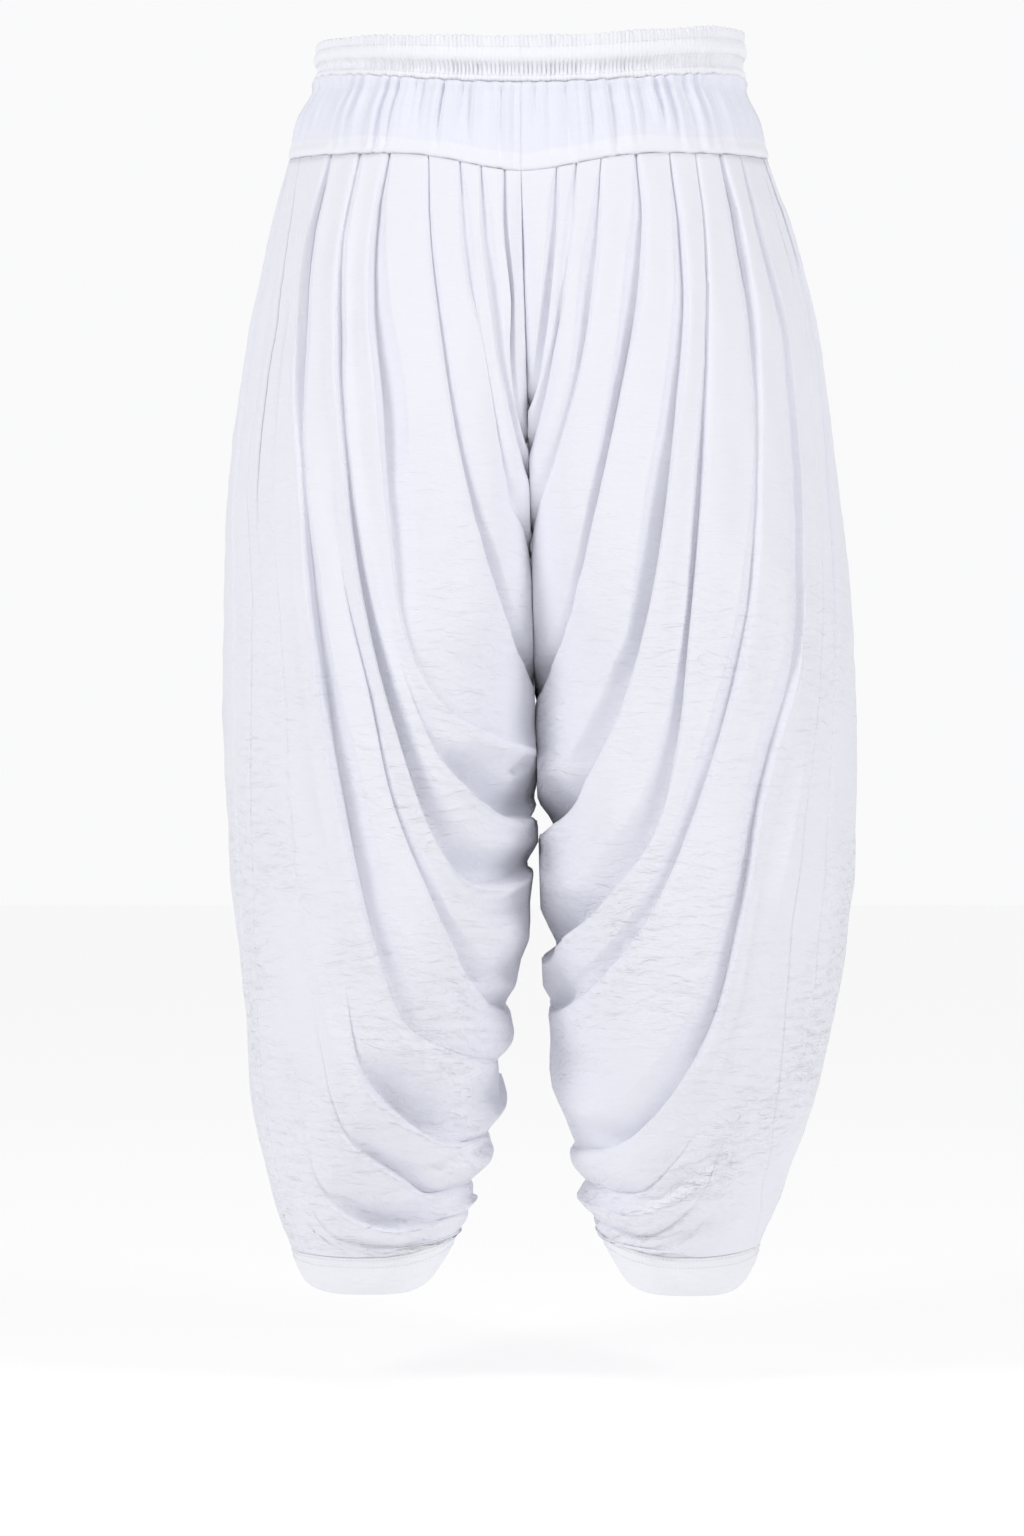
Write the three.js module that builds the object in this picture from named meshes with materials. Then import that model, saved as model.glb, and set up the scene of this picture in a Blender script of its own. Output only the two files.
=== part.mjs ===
// Patiala salwar: very full trousers on a flat belt, held up by a gathered elastic waistband.
// Everything is in millimetres, +Z up. The back of the garment faces -Y, the wearer's right is +X.
// The origin is the middle of the waist, halfway up the gathered waistband.
import * as THREE from 'three';

// Cloth walls and the gap left at every seam
const GORE_WALL = 1.4;
const BELT_WALL = 1.8;
const CUFF_WALL = 2.4;
const SEAM_GAP = 0.3;
const EDGE_GAP = 0.8;

// Heights
const BAND_TOP = 14;
const BAND_BOTTOM = -22;
const BELT_BOTTOM = -74;
const BELT_DIP = 10;
const BELT_POINT = 14;
const SEAM_TOP = -98;
const CROTCH = -455;
const HEM = -890;

// Counts
const WAIST_GATHERS = 56;
const BELT_GATHERS = 36;
const STEPS_DOWN = 18;
const CUFF_COLUMNS = 30;

// Widths of a fold's lip and of the bottom of the valley beside it
const LIP = 4.5;
const VALLEY = 3;

// Cloth colours, a warm and a cool white
const CLOTH = 0xf3f3f7;
const CLOTH_DOUBLE = 0xeeeef4;

function table(columns, rows) {
  return rows.map((row) => Object.fromEntries(columns.map((name, i) => [name, row[i]])));
}

// The legs meet on one upright plane that leans a little to the wearer's right going down
const MIDDLE_AT_BELT = -7;
const MIDDLE_LEAN = 0.0275;

// The worn form without its folds, a row per level. left and right are the outer sides measured
// from x = 0, leftGap and rightGap are how far the legs stand from the middle plane, crown is
// where the leg is deepest as a share of its width from the middle, back and front its depths, and
// turn the share of the way round at which the deepest point lies.
const FORM = table(
  ['z', 'left', 'right', 'leftGap', 'rightGap', 'crown', 'back', 'front', 'turn'],
  [
    [14, 157, 158, 0.15, 0.15, 0, 112, 110, 1],
    [-22, 158, 157, 0.15, 0.15, 0, 113, 111, 1],
    [-47, 171, 168, 0.15, 0.15, 0, 119, 116, 1],
    [-74, 179, 177, 0.15, 0.15, 0.01, 125, 120, 0.992],
    [-130, 194, 196, 0.15, 0.15, 0.11, 138, 130, 0.911],
    [-200, 209, 212, 0.15, 0.15, 0.23, 149, 138, 0.812],
    [-300, 223, 228, 0.15, 0.15, 0.36, 156, 144, 0.705],
    [-400, 229, 238, 0.15, 0.15, 0.46, 161, 148, 0.6],
    [-500, 229, 243, 0.15, 0.15, 0.49, 163, 150, 0.51],
    [-600, 223, 242, 6, 3.5, 0.5, 159, 148, 0.495],
    [-640, 219, 238, 14, 3, 0.5, 155, 144, 0.493],
    [-700, 213, 230, 25, 4, 0.51, 146, 137, 0.49],
    [-780, 207, 211, 38, 15, 0.52, 126, 116, 0.488],
    [-840, 194, 190, 53, 25, 0.52, 100, 86, 0.488],
    [-890, 178, 170, 74, 42, 0.51, 68, 52, 0.49],
  ],
);

// The folds of each leg from the centre seam outwards. Each station of a fold is its lip as seen from
// behind (x, z), the width of the shaded valley beside the lip, and how far the lip stands above the
// valley. lines is the number of grid lines from the fold on towards the next one.
const LEFT_FOLDS = [
  { name: 'centre seam', lines: 2, stations: [
    [-1, -99, 2, 0], [-1, -119, 3, 0], [-1, -148, 4, 0], [0, -184, 4, 0],
  ] },
  { name: 'seat pleat 1', lines: 2, stations: [
    [-22, -94, 1, 4], [-21, -138, 3, 7], [-16, -193, 5, 10], [-16, -229, 9, 10], [-13, -265, 9, 8],
    [-3, -300, 6, 5],
  ] },
  { name: 'seat pleat 2', lines: 2, stations: [
    [-39, -90, 1, 4], [-37, -135, 4, 6], [-31, -186, 6, 7], [-25, -233, 5, 8], [-16, -272, 7, 9],
    [-9, -300, 8, 10], [-1, -335, 6, 8],
  ] },
  { name: 'seat pleat 3', lines: 2, stations: [
    [-54, -88, 1, 3], [-52, -131, 4, 5], [-45, -182, 4, 4], [-34, -226, 1, 1], [-25, -280, 2, 2],
    [-16, -337, 6, 5], [-7, -356, 9, 10], [5, -396, 8, 8],
  ] },
  { name: 'thigh pleat 1', lines: 3, stations: [
    [-77, -85, 1, 3], [-76, -138, 2, 4], [-68, -201, 3, 5], [-57, -273, 5, 6], [-44, -337, 8, 8],
    [-31, -394, 16, 13], [-15, -444, 22, 15], [7, -488, 20, 10],
  ] },
  { name: 'thigh pleat 2', lines: 3, stations: [
    [-106, -84, 2, 4], [-116, -136, 5, 8], [-117, -200, 8, 11], [-110, -265, 12, 12],
    [-102, -352, 18, 8], [-91, -431, 20, 5], [-65, -484, 22, 6], [-22, -511, 16, 6],
    [11, -518, 10, 5],
  ] },
  { name: 'tuck', lines: 2, stations: [
    [-117, -82, 0, 0], [-127, -136, 0, 0], [-128, -199, 0, 0], [-123, -280, 0, 0],
    [-114, -373, 0, 0], [-97, -445, 0, 0], [-72, -511, 12, 5], [-49, -545, 20, 13],
    [-22, -564, 20, 12], [11, -567, 14, 8],
  ] },
  { name: 'thigh pleat 3', lines: 3, stations: [
    [-127, -78, 2, 4], [-138, -142, 5, 8], [-141, -209, 5, 9], [-136, -290, 3, 7],
    [-128, -366, 7, 9], [-113, -445, 12, 13], [-93, -517, 16, 15], [-71, -580, 18, 15],
    [-49, -610, 20, 14], [-19, -614, 18, 12], [9, -598, 12, 8],
  ] },
  { name: 'thigh pleat 4', lines: 2, stations: [
    [-139, -78, 0, 0], [-148, -145, 0, 0], [-151, -220, 0, 0], [-144, -315, 0, 0],
    [-133, -402, 1, 1], [-115, -481, 2, 5], [-100, -552, 2, 5], [-72, -624, 3, 6],
    [-51, -670, 10, 9], [-35, -695, 14, 10], [-8, -717, 8, 6],
  ] },
  { name: 'calf pleat 1', lines: 3, stations: [
    [-149, -82, 2, 4], [-166, -151, 7, 9], [-170, -226, 7, 9], [-166, -315, 2, 6],
    [-159, -409, 8, 10], [-145, -509, 12, 14], [-130, -588, 16, 14], [-112, -660, 20, 11],
    [-91, -715, 22, 8], [-58, -736, 16, 6], [-22, -748, 8, 5],
  ] },
  { name: 'swag', lines: 3, stations: [
    [-158, -81, 0, 0], [-170, -150, 0, 0], [-176, -225, 0, 0], [-177, -285, 0, 0],
    [-174, -380, 0, 0], [-164, -481, 0, 0], [-148, -588, 0, 0], [-134, -682, 0, 0],
    [-125, -743, 10, 6], [-109, -769, 22, 13], [-80, -793, 22, 13], [-55, -806, 16, 10],
    [-19, -799, 10, 6],
  ] },
  { name: 'calf pleat 2', lines: 3, stations: [
    [-163, -81, 1, 3], [-174, -150, 2, 4], [-182, -225, 2, 3], [-187, -321, 0, 1],
    [-182, -408, 0, 1], [-172, -553, 0, 1], [-165, -646, 1, 1], [-152, -733, 1, 1],
    [-134, -797, 3, 3], [-96, -827, 12, 8], [-66, -844, 14, 9], [-30, -837, 8, 5],
  ] },
  { name: 'low ridge', lines: 3, stations: [
    [-166, -80, 0, 0], [-177, -149, 0, 0], [-185, -224, 0, 0], [-191, -320, 0, 0],
    [-188, -408, 0, 0], [-184, -517, 0, 0], [-179, -625, 0, 0], [-172, -749, 0, 0],
    [-157, -829, 4, 2], [-132, -859, 14, 8], [-99, -869, 16, 9], [-66, -864, 12, 7],
    [-37, -858, 6, 4],
  ] },
  { name: 'hem corner', lines: 2, stations: [
    [-169, -80, 0, 0], [-179, -149, 0, 0], [-187, -224, 0, 0], [-195, -320, 0, 0],
    [-192, -408, 0, 0], [-190, -516, 0, 0], [-186, -625, 0, 0], [-180, -749, 0, 0],
    [-166, -836, 0, 0], [-144, -875, 3, 2], [-110, -882, 5, 3], [-74, -879, 4, 3],
    [-34, -870, 3, 2],
  ] },
  { name: 'hem middle', lines: 3, stations: [
    [-171, -79, 2, 4], [-181, -148, 4, 6], [-190, -224, 6, 6], [-199, -320, 6, 4],
    [-196, -408, 0, 0], [-196, -516, 0, 0], [-193, -625, 0, 0], [-187, -750, 0, 0],
    [-173, -839, 0, 0], [-156, -873, 0, 0], [-128, -888, 0, 0],
  ] },
  { name: 'side seam', lines: 3, stations: [
    [-174, -79, 0, 1.5], [-187, -147, 0, 1.5], [-198, -222, 0, 1.5], [-207, -319, 0, 1.5],
    [-202, -407, 0, 1.5], [-203, -524, 0, 1.5], [-202, -626, 0, 1.5], [-197, -743, 0, 1.5],
    [-186, -825, 0, 1.5], [-170, -881, 0, 1],
  ] },
  { name: 'side fold', lines: 3, stations: [
    [-179, -76, 1, 3], [-193, -145, 3, 5], [-208, -220, 4, 6], [-217, -317, 3, 4],
    [-217, -406, 1, 2], [-217, -524, 1, 2], [-212, -626, 1, 3], [-204, -745, 1, 2],
    [-193, -819, 1, 1], [-177, -886, 0, 0],
  ] },
];

const RIGHT_FOLDS = [
  { name: 'centre seam', lines: 2, stations: [
    [-19, -99, 2, 0], [-19, -116, 3, 0], [-19, -137, 4, 0], [-19, -163, 4, 0],
  ] },
  { name: 'seat pleat 1', lines: 2, stations: [
    [22, -92, 1, 4], [21, -127, 4, 6], [17, -171, 6, 8], [12, -218, 9, 9], [5, -254, 8, 7],
    [-5, -281, 6, 5],
  ] },
  { name: 'seat pleat 2', lines: 2, stations: [
    [36, -91, 1, 4], [32, -135, 3, 4], [25, -186, 5, 5], [16, -233, 3, 7], [7, -275, 6, 9],
    [-5, -325, 8, 8],
  ] },
  { name: 'seat pleat 3', lines: 3, stations: [
    [54, -86, 1, 3], [51, -138, 4, 5], [45, -193, 8, 8], [34, -251, 5, 7], [20, -301, 6, 7],
    [7, -342, 8, 8], [-6, -379, 8, 7],
  ] },
  { name: 'thigh pleat 1', lines: 3, stations: [
    [80, -86, 2, 4], [84, -130, 5, 7], [79, -193, 9, 10], [64, -266, 9, 10], [49, -337, 13, 10],
    [33, -409, 14, 8], [18, -458, 18, 11], [-3, -495, 18, 10],
  ] },
  { name: 'thigh pleat 2', lines: 3, stations: [
    [104, -83, 1, 3], [111, -140, 4, 6], [113, -200, 6, 8], [106, -273, 8, 10], [98, -341, 13, 14],
    [87, -409, 15, 15], [69, -481, 14, 14], [43, -544, 18, 16], [23, -573, 26, 15],
    [-6, -582, 18, 9],
  ] },
  { name: 'thigh pleat 3', lines: 3, stations: [
    [123, -80, 1, 3], [129, -147, 1, 4], [128, -228, 2, 4], [123, -337, 6, 9], [114, -431, 6, 8],
    [105, -517, 10, 11], [89, -578, 15, 13], [61, -619, 18, 14], [32, -652, 22, 13],
    [0, -670, 14, 8],
  ] },
  { name: 'thigh pleat 4', lines: 3, stations: [
    [142, -77, 2, 4], [155, -133, 6, 8], [164, -204, 5, 7], [165, -300, 2, 4], [159, -409, 5, 6],
    [141, -492, 5, 8], [115, -571, 4, 8], [86, -636, 4, 8], [54, -680, 9, 10], [30, -704, 12, 9],
    [6, -712, 8, 6],
  ] },
  { name: 'calf pleat 1', lines: 4, stations: [
    [157, -77, 2, 3], [174, -150, 4, 6], [189, -224, 6, 6], [196, -335, 8, 7], [192, -444, 15, 7],
    [167, -549, 15, 9], [153, -628, 14, 11], [133, -711, 15, 12], [99, -772, 18, 13],
    [64, -805, 18, 13], [22, -816, 12, 8],
  ] },
  { name: 'swag', lines: 2, stations: [
    [162, -76, 0, 0], [180, -149, 0, 0], [195, -223, 0, 0], [200, -335, 0, 0], [196, -444, 0, 0],
    [179, -549, 0, 0], [163, -631, 0, 0], [147, -718, 0, 0], [123, -788, 0, 0], [87, -837, 8, 5],
    [57, -844, 12, 7], [31, -837, 8, 5],
  ] },
  { name: 'low ridge', lines: 3, stations: [
    [164, -76, 0, 0], [184, -148, 0, 0], [198, -223, 0, 0], [204, -335, 0, 0], [200, -444, 0, 0],
    [185, -553, 0, 0], [171, -639, 0, 0], [160, -718, 0, 0], [143, -792, 0, 0], [121, -848, 2, 2],
    [88, -876, 8, 5], [60, -872, 8, 5], [34, -861, 5, 4],
  ] },
  { name: 'hem corner', lines: 2, stations: [
    [167, -75, 0, 0], [187, -147, 0, 0], [201, -222, 0, 0], [207, -334, 0, 0], [203, -444, 0, 0],
    [190, -553, 0, 0], [176, -635, 0, 0], [168, -719, 0, 0], [156, -792, 0, 0], [136, -852, 0, 0],
    [103, -884, 2, 2], [70, -882, 3, 2], [37, -874, 2, 2],
  ] },
  { name: 'hem middle', lines: 3, stations: [
    [169, -75, 2, 4], [190, -147, 4, 5], [204, -222, 5, 5], [210, -334, 4, 3], [207, -444, 0, 0],
    [194, -553, 0, 0], [182, -635, 0, 0], [176, -715, 0, 0], [169, -785, 0, 0], [156, -850, 0, 0],
    [125, -890, 0, 0],
  ] },
  { name: 'side seam', lines: 3, stations: [
    [171, -73, 0, 1.5], [193, -146, 0, 1.5], [206, -221, 0, 1.5], [213, -334, 0, 1.5],
    [210, -444, 0, 1.5], [199, -553, 0, 1.5], [188, -635, 0, 1.5], [184, -712, 0, 1.5],
    [179, -782, 0, 1.5], [167, -879, 0, 1],
  ] },
  { name: 'side fold', lines: 3, stations: [
    [174, -72, 1, 3], [196, -144, 3, 5], [212, -219, 4, 6], [221, -333, 4, 5], [222, -443, 1, 3],
    [218, -549, 1, 2], [213, -633, 1, 3], [206, -710, 1, 2], [195, -780, 1, 1], [171, -884, 0, 0],
  ] },
];
const OUTER_SIDE = {
  name: 'outer side',
  lines: 0,
  stations: [[0, -74, 0, 0], [0, -300, 0, 0], [0, -600, 0, 0], [0, -888, 0, 0]],
};
const ON_HEM = ['hem corner', 'hem middle', 'side seam', 'side fold', 'outer side'];
const OPEN_ENDS = ['hem middle', 'side seam', 'side fold', 'outer side'];
const PATH_SAMPLES = 120;

// How the front folds differ from the back ones: shifted a little round the leg and up or down,
// and a little shallower. Their ends on the inseam stay where the back ones are.
const FRONT_SWAY = 0.02;
const FRONT_DROP = 12;
const FRONT_DEPTH = 0.85;

// The cuffs: middle and half sizes of the lower edge, and how its height changes round the ankle
const CUFFS = {
  left: { x: -120, y: -8, halfWidth: 49, back: 50, front: 49, outer: -911, inner: -907, low: -918 },
  right: { x: 118, y: -8, halfWidth: 46, back: 50, front: 48, outer: -906, inner: -913, low: -919 },
};
const HEM_RISE = { left: { outer: 2, inner: 15 }, right: { outer: 6, inner: 16 } };

// The gathered waistband in section, outwards from the waist line and up; gather is how much of
// the shirring shows at that point. Two channels hold elastic, and a frill stands above them.
const BAND_PROFILE = table(['out', 'z', 'gather'], [
  [0.5, -22, 0.9],
  [4.6, -17, 0.5],
  [4.4, -10.5, 0.5],
  [1.0, -7, 0.9],
  [3.8, -1.5, 0.5],
  [1.0, 4.5, 0.9],
  [3.4, 14, 1.6],
  [0.9, 14, 1.6],
  [-1.6, -1, 0.4],
  [-1.8, -22, 0.4],
]);

function clamp(value, low, high) {
  return Math.min(high, Math.max(low, value));
}

function ease(value) {
  const t = clamp(value, 0, 1);
  return t * t * (3 - 2 * t);
}

// A smooth curve through the points (xs rising), used for the form's levels and for the folds
function through(xs, ys, at) {
  const last = xs.length - 1;
  const x = clamp(at, xs[0], xs[last]);
  let i = 0;
  while (i < last - 1 && xs[i + 1] < x) i += 1;
  const slope = (k) => {
    const a = Math.max(k - 1, 0);
    const b = Math.min(k + 1, last);
    return (ys[b] - ys[a]) / (xs[b] - xs[a]);
  };
  const h = xs[i + 1] - xs[i];
  const t = (x - xs[i]) / h;
  const t2 = t * t;
  const t3 = t2 * t;
  return (2 * t3 - 3 * t2 + 1) * ys[i] + (t3 - 2 * t2 + t) * h * slope(i)
    + (3 * t2 - 2 * t3) * ys[i + 1] + (t3 - t2) * h * slope(i + 1);
}

const LEVELS = [...FORM].reverse();
const LEVEL_Z = LEVELS.map((row) => row.z);

function form(name, z) {
  return through(LEVEL_Z, LEVELS.map((row) => row[name]), z);
}

function middleAt(z) {
  return MIDDLE_AT_BELT + MIDDLE_LEAN * Math.max(0, SEAM_TOP - z);
}

// Depth of the centre seam below the belt: it curves in to the crotch
function seamDepth(face, z) {
  if (z >= SEAM_TOP) return form(face, z);
  if (z <= CROTCH) return 0;
  const down = (SEAM_TOP - z) / (SEAM_TOP - CROTCH);
  return form(face, SEAM_TOP) * (1 - down ** 2.4) ** 0.75;
}

// Half a level section of one leg, from its outer side to the centre seam or inseam
const SECTIONS = new Map();
function section(leg, face, z) {
  const key = `${leg} ${face} ${z.toFixed(4)}`;
  if (SECTIONS.has(key)) return SECTIONS.get(key);
  const sign = leg === 'left' ? -1 : 1;
  const toBack = face === 'back' ? -1 : 1;
  const middle = middleAt(z);
  const outer = form(leg, z) - sign * middle;
  const inner = form(`${leg}Gap`, z);
  const crown = inner + (outer - inner) * form('crown', z);
  const depth = form(face, z);
  const seam = seamDepth(face, z);
  const low = clamp((BELT_BOTTOM - z) / 250, 0, 1);
  const outerPower = 2 / (2 + 0.25 * low);
  const innerPower = 2 / (2 + 0.5 * low);
  const points = [];
  const along = [];
  const steps = 120;
  for (let i = 0; i <= steps; i += 1) {
    const angle = (Math.PI * i) / steps;
    const c = Math.abs(Math.cos(angle));
    const s = Math.abs(Math.sin(angle));
    const outside = angle <= Math.PI / 2;
    const x = outside
      ? crown + (outer - crown) * c ** outerPower
      : crown - (crown - inner) * c ** innerPower;
    const y = outside ? depth * s ** outerPower : seam + (depth - seam) * s ** innerPower;
    const point = [middle + sign * x, toBack * y];
    points.push(point);
    along.push(i === 0 ? 0
      : along[i - 1] + Math.hypot(point[0] - points[i - 1][0], point[1] - points[i - 1][1]));
  }
  const made = { points, along, length: along[steps], sign, toBack, middle, turn: form('turn', z) };
  SECTIONS.set(key, made);
  return made;
}

function sectionPoint(cut, w) {
  const share = clamp(w, 0, 1);
  const deepest = cut.along[(cut.along.length - 1) / 2];
  const goal = share <= cut.turn
    ? (share / cut.turn) * deepest
    : deepest + ((share - cut.turn) / (1 - cut.turn)) * (cut.length - deepest);
  let i = 1;
  while (i < cut.along.length - 1 && cut.along[i] < goal) i += 1;
  const span = cut.along[i] - cut.along[i - 1];
  const t = span > 1e-9 ? clamp((goal - cut.along[i - 1]) / span, 0, 1) : 0;
  const a = cut.points[i - 1];
  const b = cut.points[i];
  return [a[0] + (b[0] - a[0]) * t, a[1] + (b[1] - a[1]) * t];
}

// A point of the form and the level direction straight out of the cloth there
function place(leg, face, w, z) {
  const cut = section(leg, face, z);
  const [x, y] = sectionPoint(cut, w);
  const a = sectionPoint(cut, w - 0.012);
  const b = sectionPoint(cut, w + 0.012);
  const turn = -cut.toBack * cut.sign;
  const out = new THREE.Vector3(turn * (a[1] - b[1]), turn * (b[0] - a[0]), 0);
  if (w < 0.004) out.set(cut.sign, 0, 0);
  if (w > 0.996 && z < SEAM_TOP - 20) out.set(-cut.sign, 0, 0);
  out.normalize();
  return { point: new THREE.Vector3(x, y, z), out, cut };
}

// Where the belt ends and the gores begin, lower at the centre back and front
function beltEdge(w) {
  const c = Math.sin((clamp(w, 0, 1) * Math.PI) / 2);
  return BELT_BOTTOM - BELT_DIP * c - BELT_POINT * c ** 16;
}

// Where the gores end and the cuff begins, higher on the inner and the outer side of the ankle
function hemEdge(leg, w) {
  const c = Math.cos(clamp(w, 0, 1) * Math.PI);
  const rise = HEM_RISE[leg];
  return HEM + rise.outer * Math.max(0, c) ** 2 + rise.inner * Math.max(0, -c) ** 2;
}

// The share of the way round the leg at which the cloth is seen at x from behind
function shareSeenAt(leg, x, z) {
  const cut = section(leg, 'back', z);
  let low = 0;
  let high = 1;
  for (let i = 0; i < 20; i += 1) {
    const w = (low + high) / 2;
    if (cut.sign * (sectionPoint(cut, w)[0] - x) > 0) low = w;
    else high = w;
  }
  return (low + high) / 2;
}

// Running lengths along a path in the plane of two lists
function lengthsAlong(us, vs) {
  const stops = [0];
  for (let i = 1; i < us.length; i += 1) {
    stops.push(stops[i - 1] + Math.hypot(us[i] - us[i - 1], vs[i] - vs[i - 1]));
  }
  return stops;
}

// A list of stations along one fold: w, z, the valley's width and the fold's depth
const PATHS = new Map();
function tracedPath(leg, fold) {
  const key = `${leg} ${fold.name}`;
  if (PATHS.has(key)) return PATHS.get(key);
  const [xs, zs, valleys, depths] = [0, 1, 2, 3].map((k) => fold.stations.map((station) => station[k]));
  const centre = fold.name === 'centre seam';
  const top = centre ? 1 : shareSeenAt(leg, xs[0], zs[0]);
  zs[0] = beltEdge(top) - EDGE_GAP;
  const stops = lengthsAlong(xs, zs);
  const traced = [];
  for (let i = 0; i < PATH_SAMPLES; i += 1) {
    const s = (stops[stops.length - 1] * i) / (PATH_SAMPLES - 1);
    const z = through(stops, zs, s);
    let w = shareSeenAt(leg, through(stops, xs, s), z);
    if (centre) w = top;
    if (fold.name === 'outer side') w = 0;
    traced.push([w, z, through(stops, valleys, s), through(stops, depths, s)]);
    if (!centre && w > 0.995 && !OPEN_ENDS.includes(fold.name)) break;
  }
  const last = traced[traced.length - 1];
  if (!OPEN_ENDS.includes(fold.name)) last[0] = 1;
  if (ON_HEM.includes(fold.name)) last[1] = hemEdge(leg, last[0]) + EDGE_GAP;
  PATHS.set(key, traced);
  return traced;
}

// One fold on the back or the front, read at t from 0 at the belt to 1 at its end
function foldPath(leg, face, fold, index) {
  const front = face === 'front' ? 1 : 0;
  const traced = tracedPath(leg, fold);
  const ws = traced.map(([w]) => w + front * FRONT_SWAY * Math.sin(2 * Math.PI * w));
  const zs = traced.map(([w, z], i) => z + front * FRONT_DROP * Math.sin(3 * Math.PI * w)
    * Math.sin((Math.PI * i) / (traced.length - 1)));
  const stops = lengthsAlong(ws.map((w) => w * 380), zs);
  const read = (values, t) => {
    const s = t * stops[stops.length - 1];
    let i = 1;
    while (i < stops.length - 1 && stops[i] < s) i += 1;
    const share = clamp((s - stops[i - 1]) / Math.max(stops[i] - stops[i - 1], 1e-9), 0, 1);
    return values[i - 1] + (values[i] - values[i - 1]) * share;
  };
  const shallower = 1 - FRONT_DEPTH * (1 + 0.2 * Math.sin(1.7 * index));
  const other = (t) => front * (1 - ease((t - 0.8) / 0.2)) * shallower;
  return {
    fold,
    at: (t) => [clamp(read(ws, t), 0, 1), read(zs, t)],
    depth: (t) => Math.max(0, read(traced.map((row) => row[3]), t)) * (1 - other(t)),
    valley: (t) => Math.max(0, read(traced.map((row) => row[2]), t)),
  };
}

// The lines of a gore's grid from one fold on towards the next: its lip, the panel, the ridge where
// the panel turns down, and the valley under the next lip
const LINE_SETS = {
  2: ['lip', 'valley'],
  3: ['lip', 'ridge', 'valley'],
  4: ['lip', 'middle', 'ridge', 'valley'],
};

function linesBetween(fold, first) {
  const lines = LINE_SETS[fold.lines];
  return first ? ['edge', ...lines.slice(1)] : lines;
}

function shareAt(line, span, hollow) {
  const lip = Math.min(LIP, 0.3 * span);
  const ridge = Math.max(span - hollow, lip + 0.08 * span);
  const valley = span - Math.min(VALLEY, 0.5 * hollow);
  const where = { edge: 0, lip, middle: (lip + ridge) / 2, ridge, valley };
  return where[line] / span;
}

// Height of each line, as shares of the depths of the inner and of the outer fold
const HEIGHT = {
  edge: [0, 0],
  lip: [0.5, 0],
  middle: [0.25, 0.08],
  ridge: [0, 0.15],
  valley: [0, -0.5],
};

// A grid of points over one gore, between the first and the last of the folds given
function goreGrid(leg, face, folds) {
  const paths = folds.map(({ fold, index }) => foldPath(leg, face, fold, index));
  const lines = [];
  paths.slice(0, -1).forEach((path, i) => {
    linesBetween(path.fold, i === 0).forEach((line) => lines.push({ i, line }));
  });
  lines.push({ i: paths.length - 1, line: 'edge' });
  return lines.map(({ i, line }) => {
    const column = [];
    for (let j = 0; j <= STEPS_DOWN; j += 1) {
      const t = j / STEPS_DOWN;
      const a = paths[i];
      const b = paths[Math.min(i + 1, paths.length - 1)];
      const [wa, za] = a.at(t);
      const [wb, zb] = b.at(t);
      const round = section(leg, face, (za + zb) / 2).length;
      const span = Math.max(1, Math.hypot((wb - wa) * round, zb - za));
      const hollow = clamp(b.valley(t) + 0.4 * b.depth(t) + 1.5, 5, 0.62 * span);
      const f = shareAt(line, span, hollow);
      const w = wa + (wb - wa) * f;
      const end = t === 1 && ON_HEM.includes(folds[i].fold.name);
      const top = t === 0 ? beltEdge(w) - EDGE_GAP : za + (zb - za) * f;
      const z = end ? hemEdge(leg, w) + EDGE_GAP : top;
      const [inner, outer] = HEIGHT[line];
      const room = clamp((span - 3) / 14, 0, 1);
      const height = room * (inner * a.depth(t) + outer * b.depth(t));
      column.push(onCloth(leg, face, w, z, height));
    }
    return column;
  });
}

// A point on the cloth, standing out by height, kept on its own side of the middle
function onCloth(leg, face, w, z, height) {
  const { point, out, cut } = place(leg, face, w, z);
  point.addScaledVector(out, height);
  const limit = cut.middle + (cut.sign * SEAM_GAP) / 2;
  if (cut.sign * (point.x - limit) < 0) point.x = limit;
  if (w > 0.97 && z < CROTCH + 1) point.y += (cut.toBack * SEAM_GAP) / 2;
  return { point, out };
}

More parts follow.
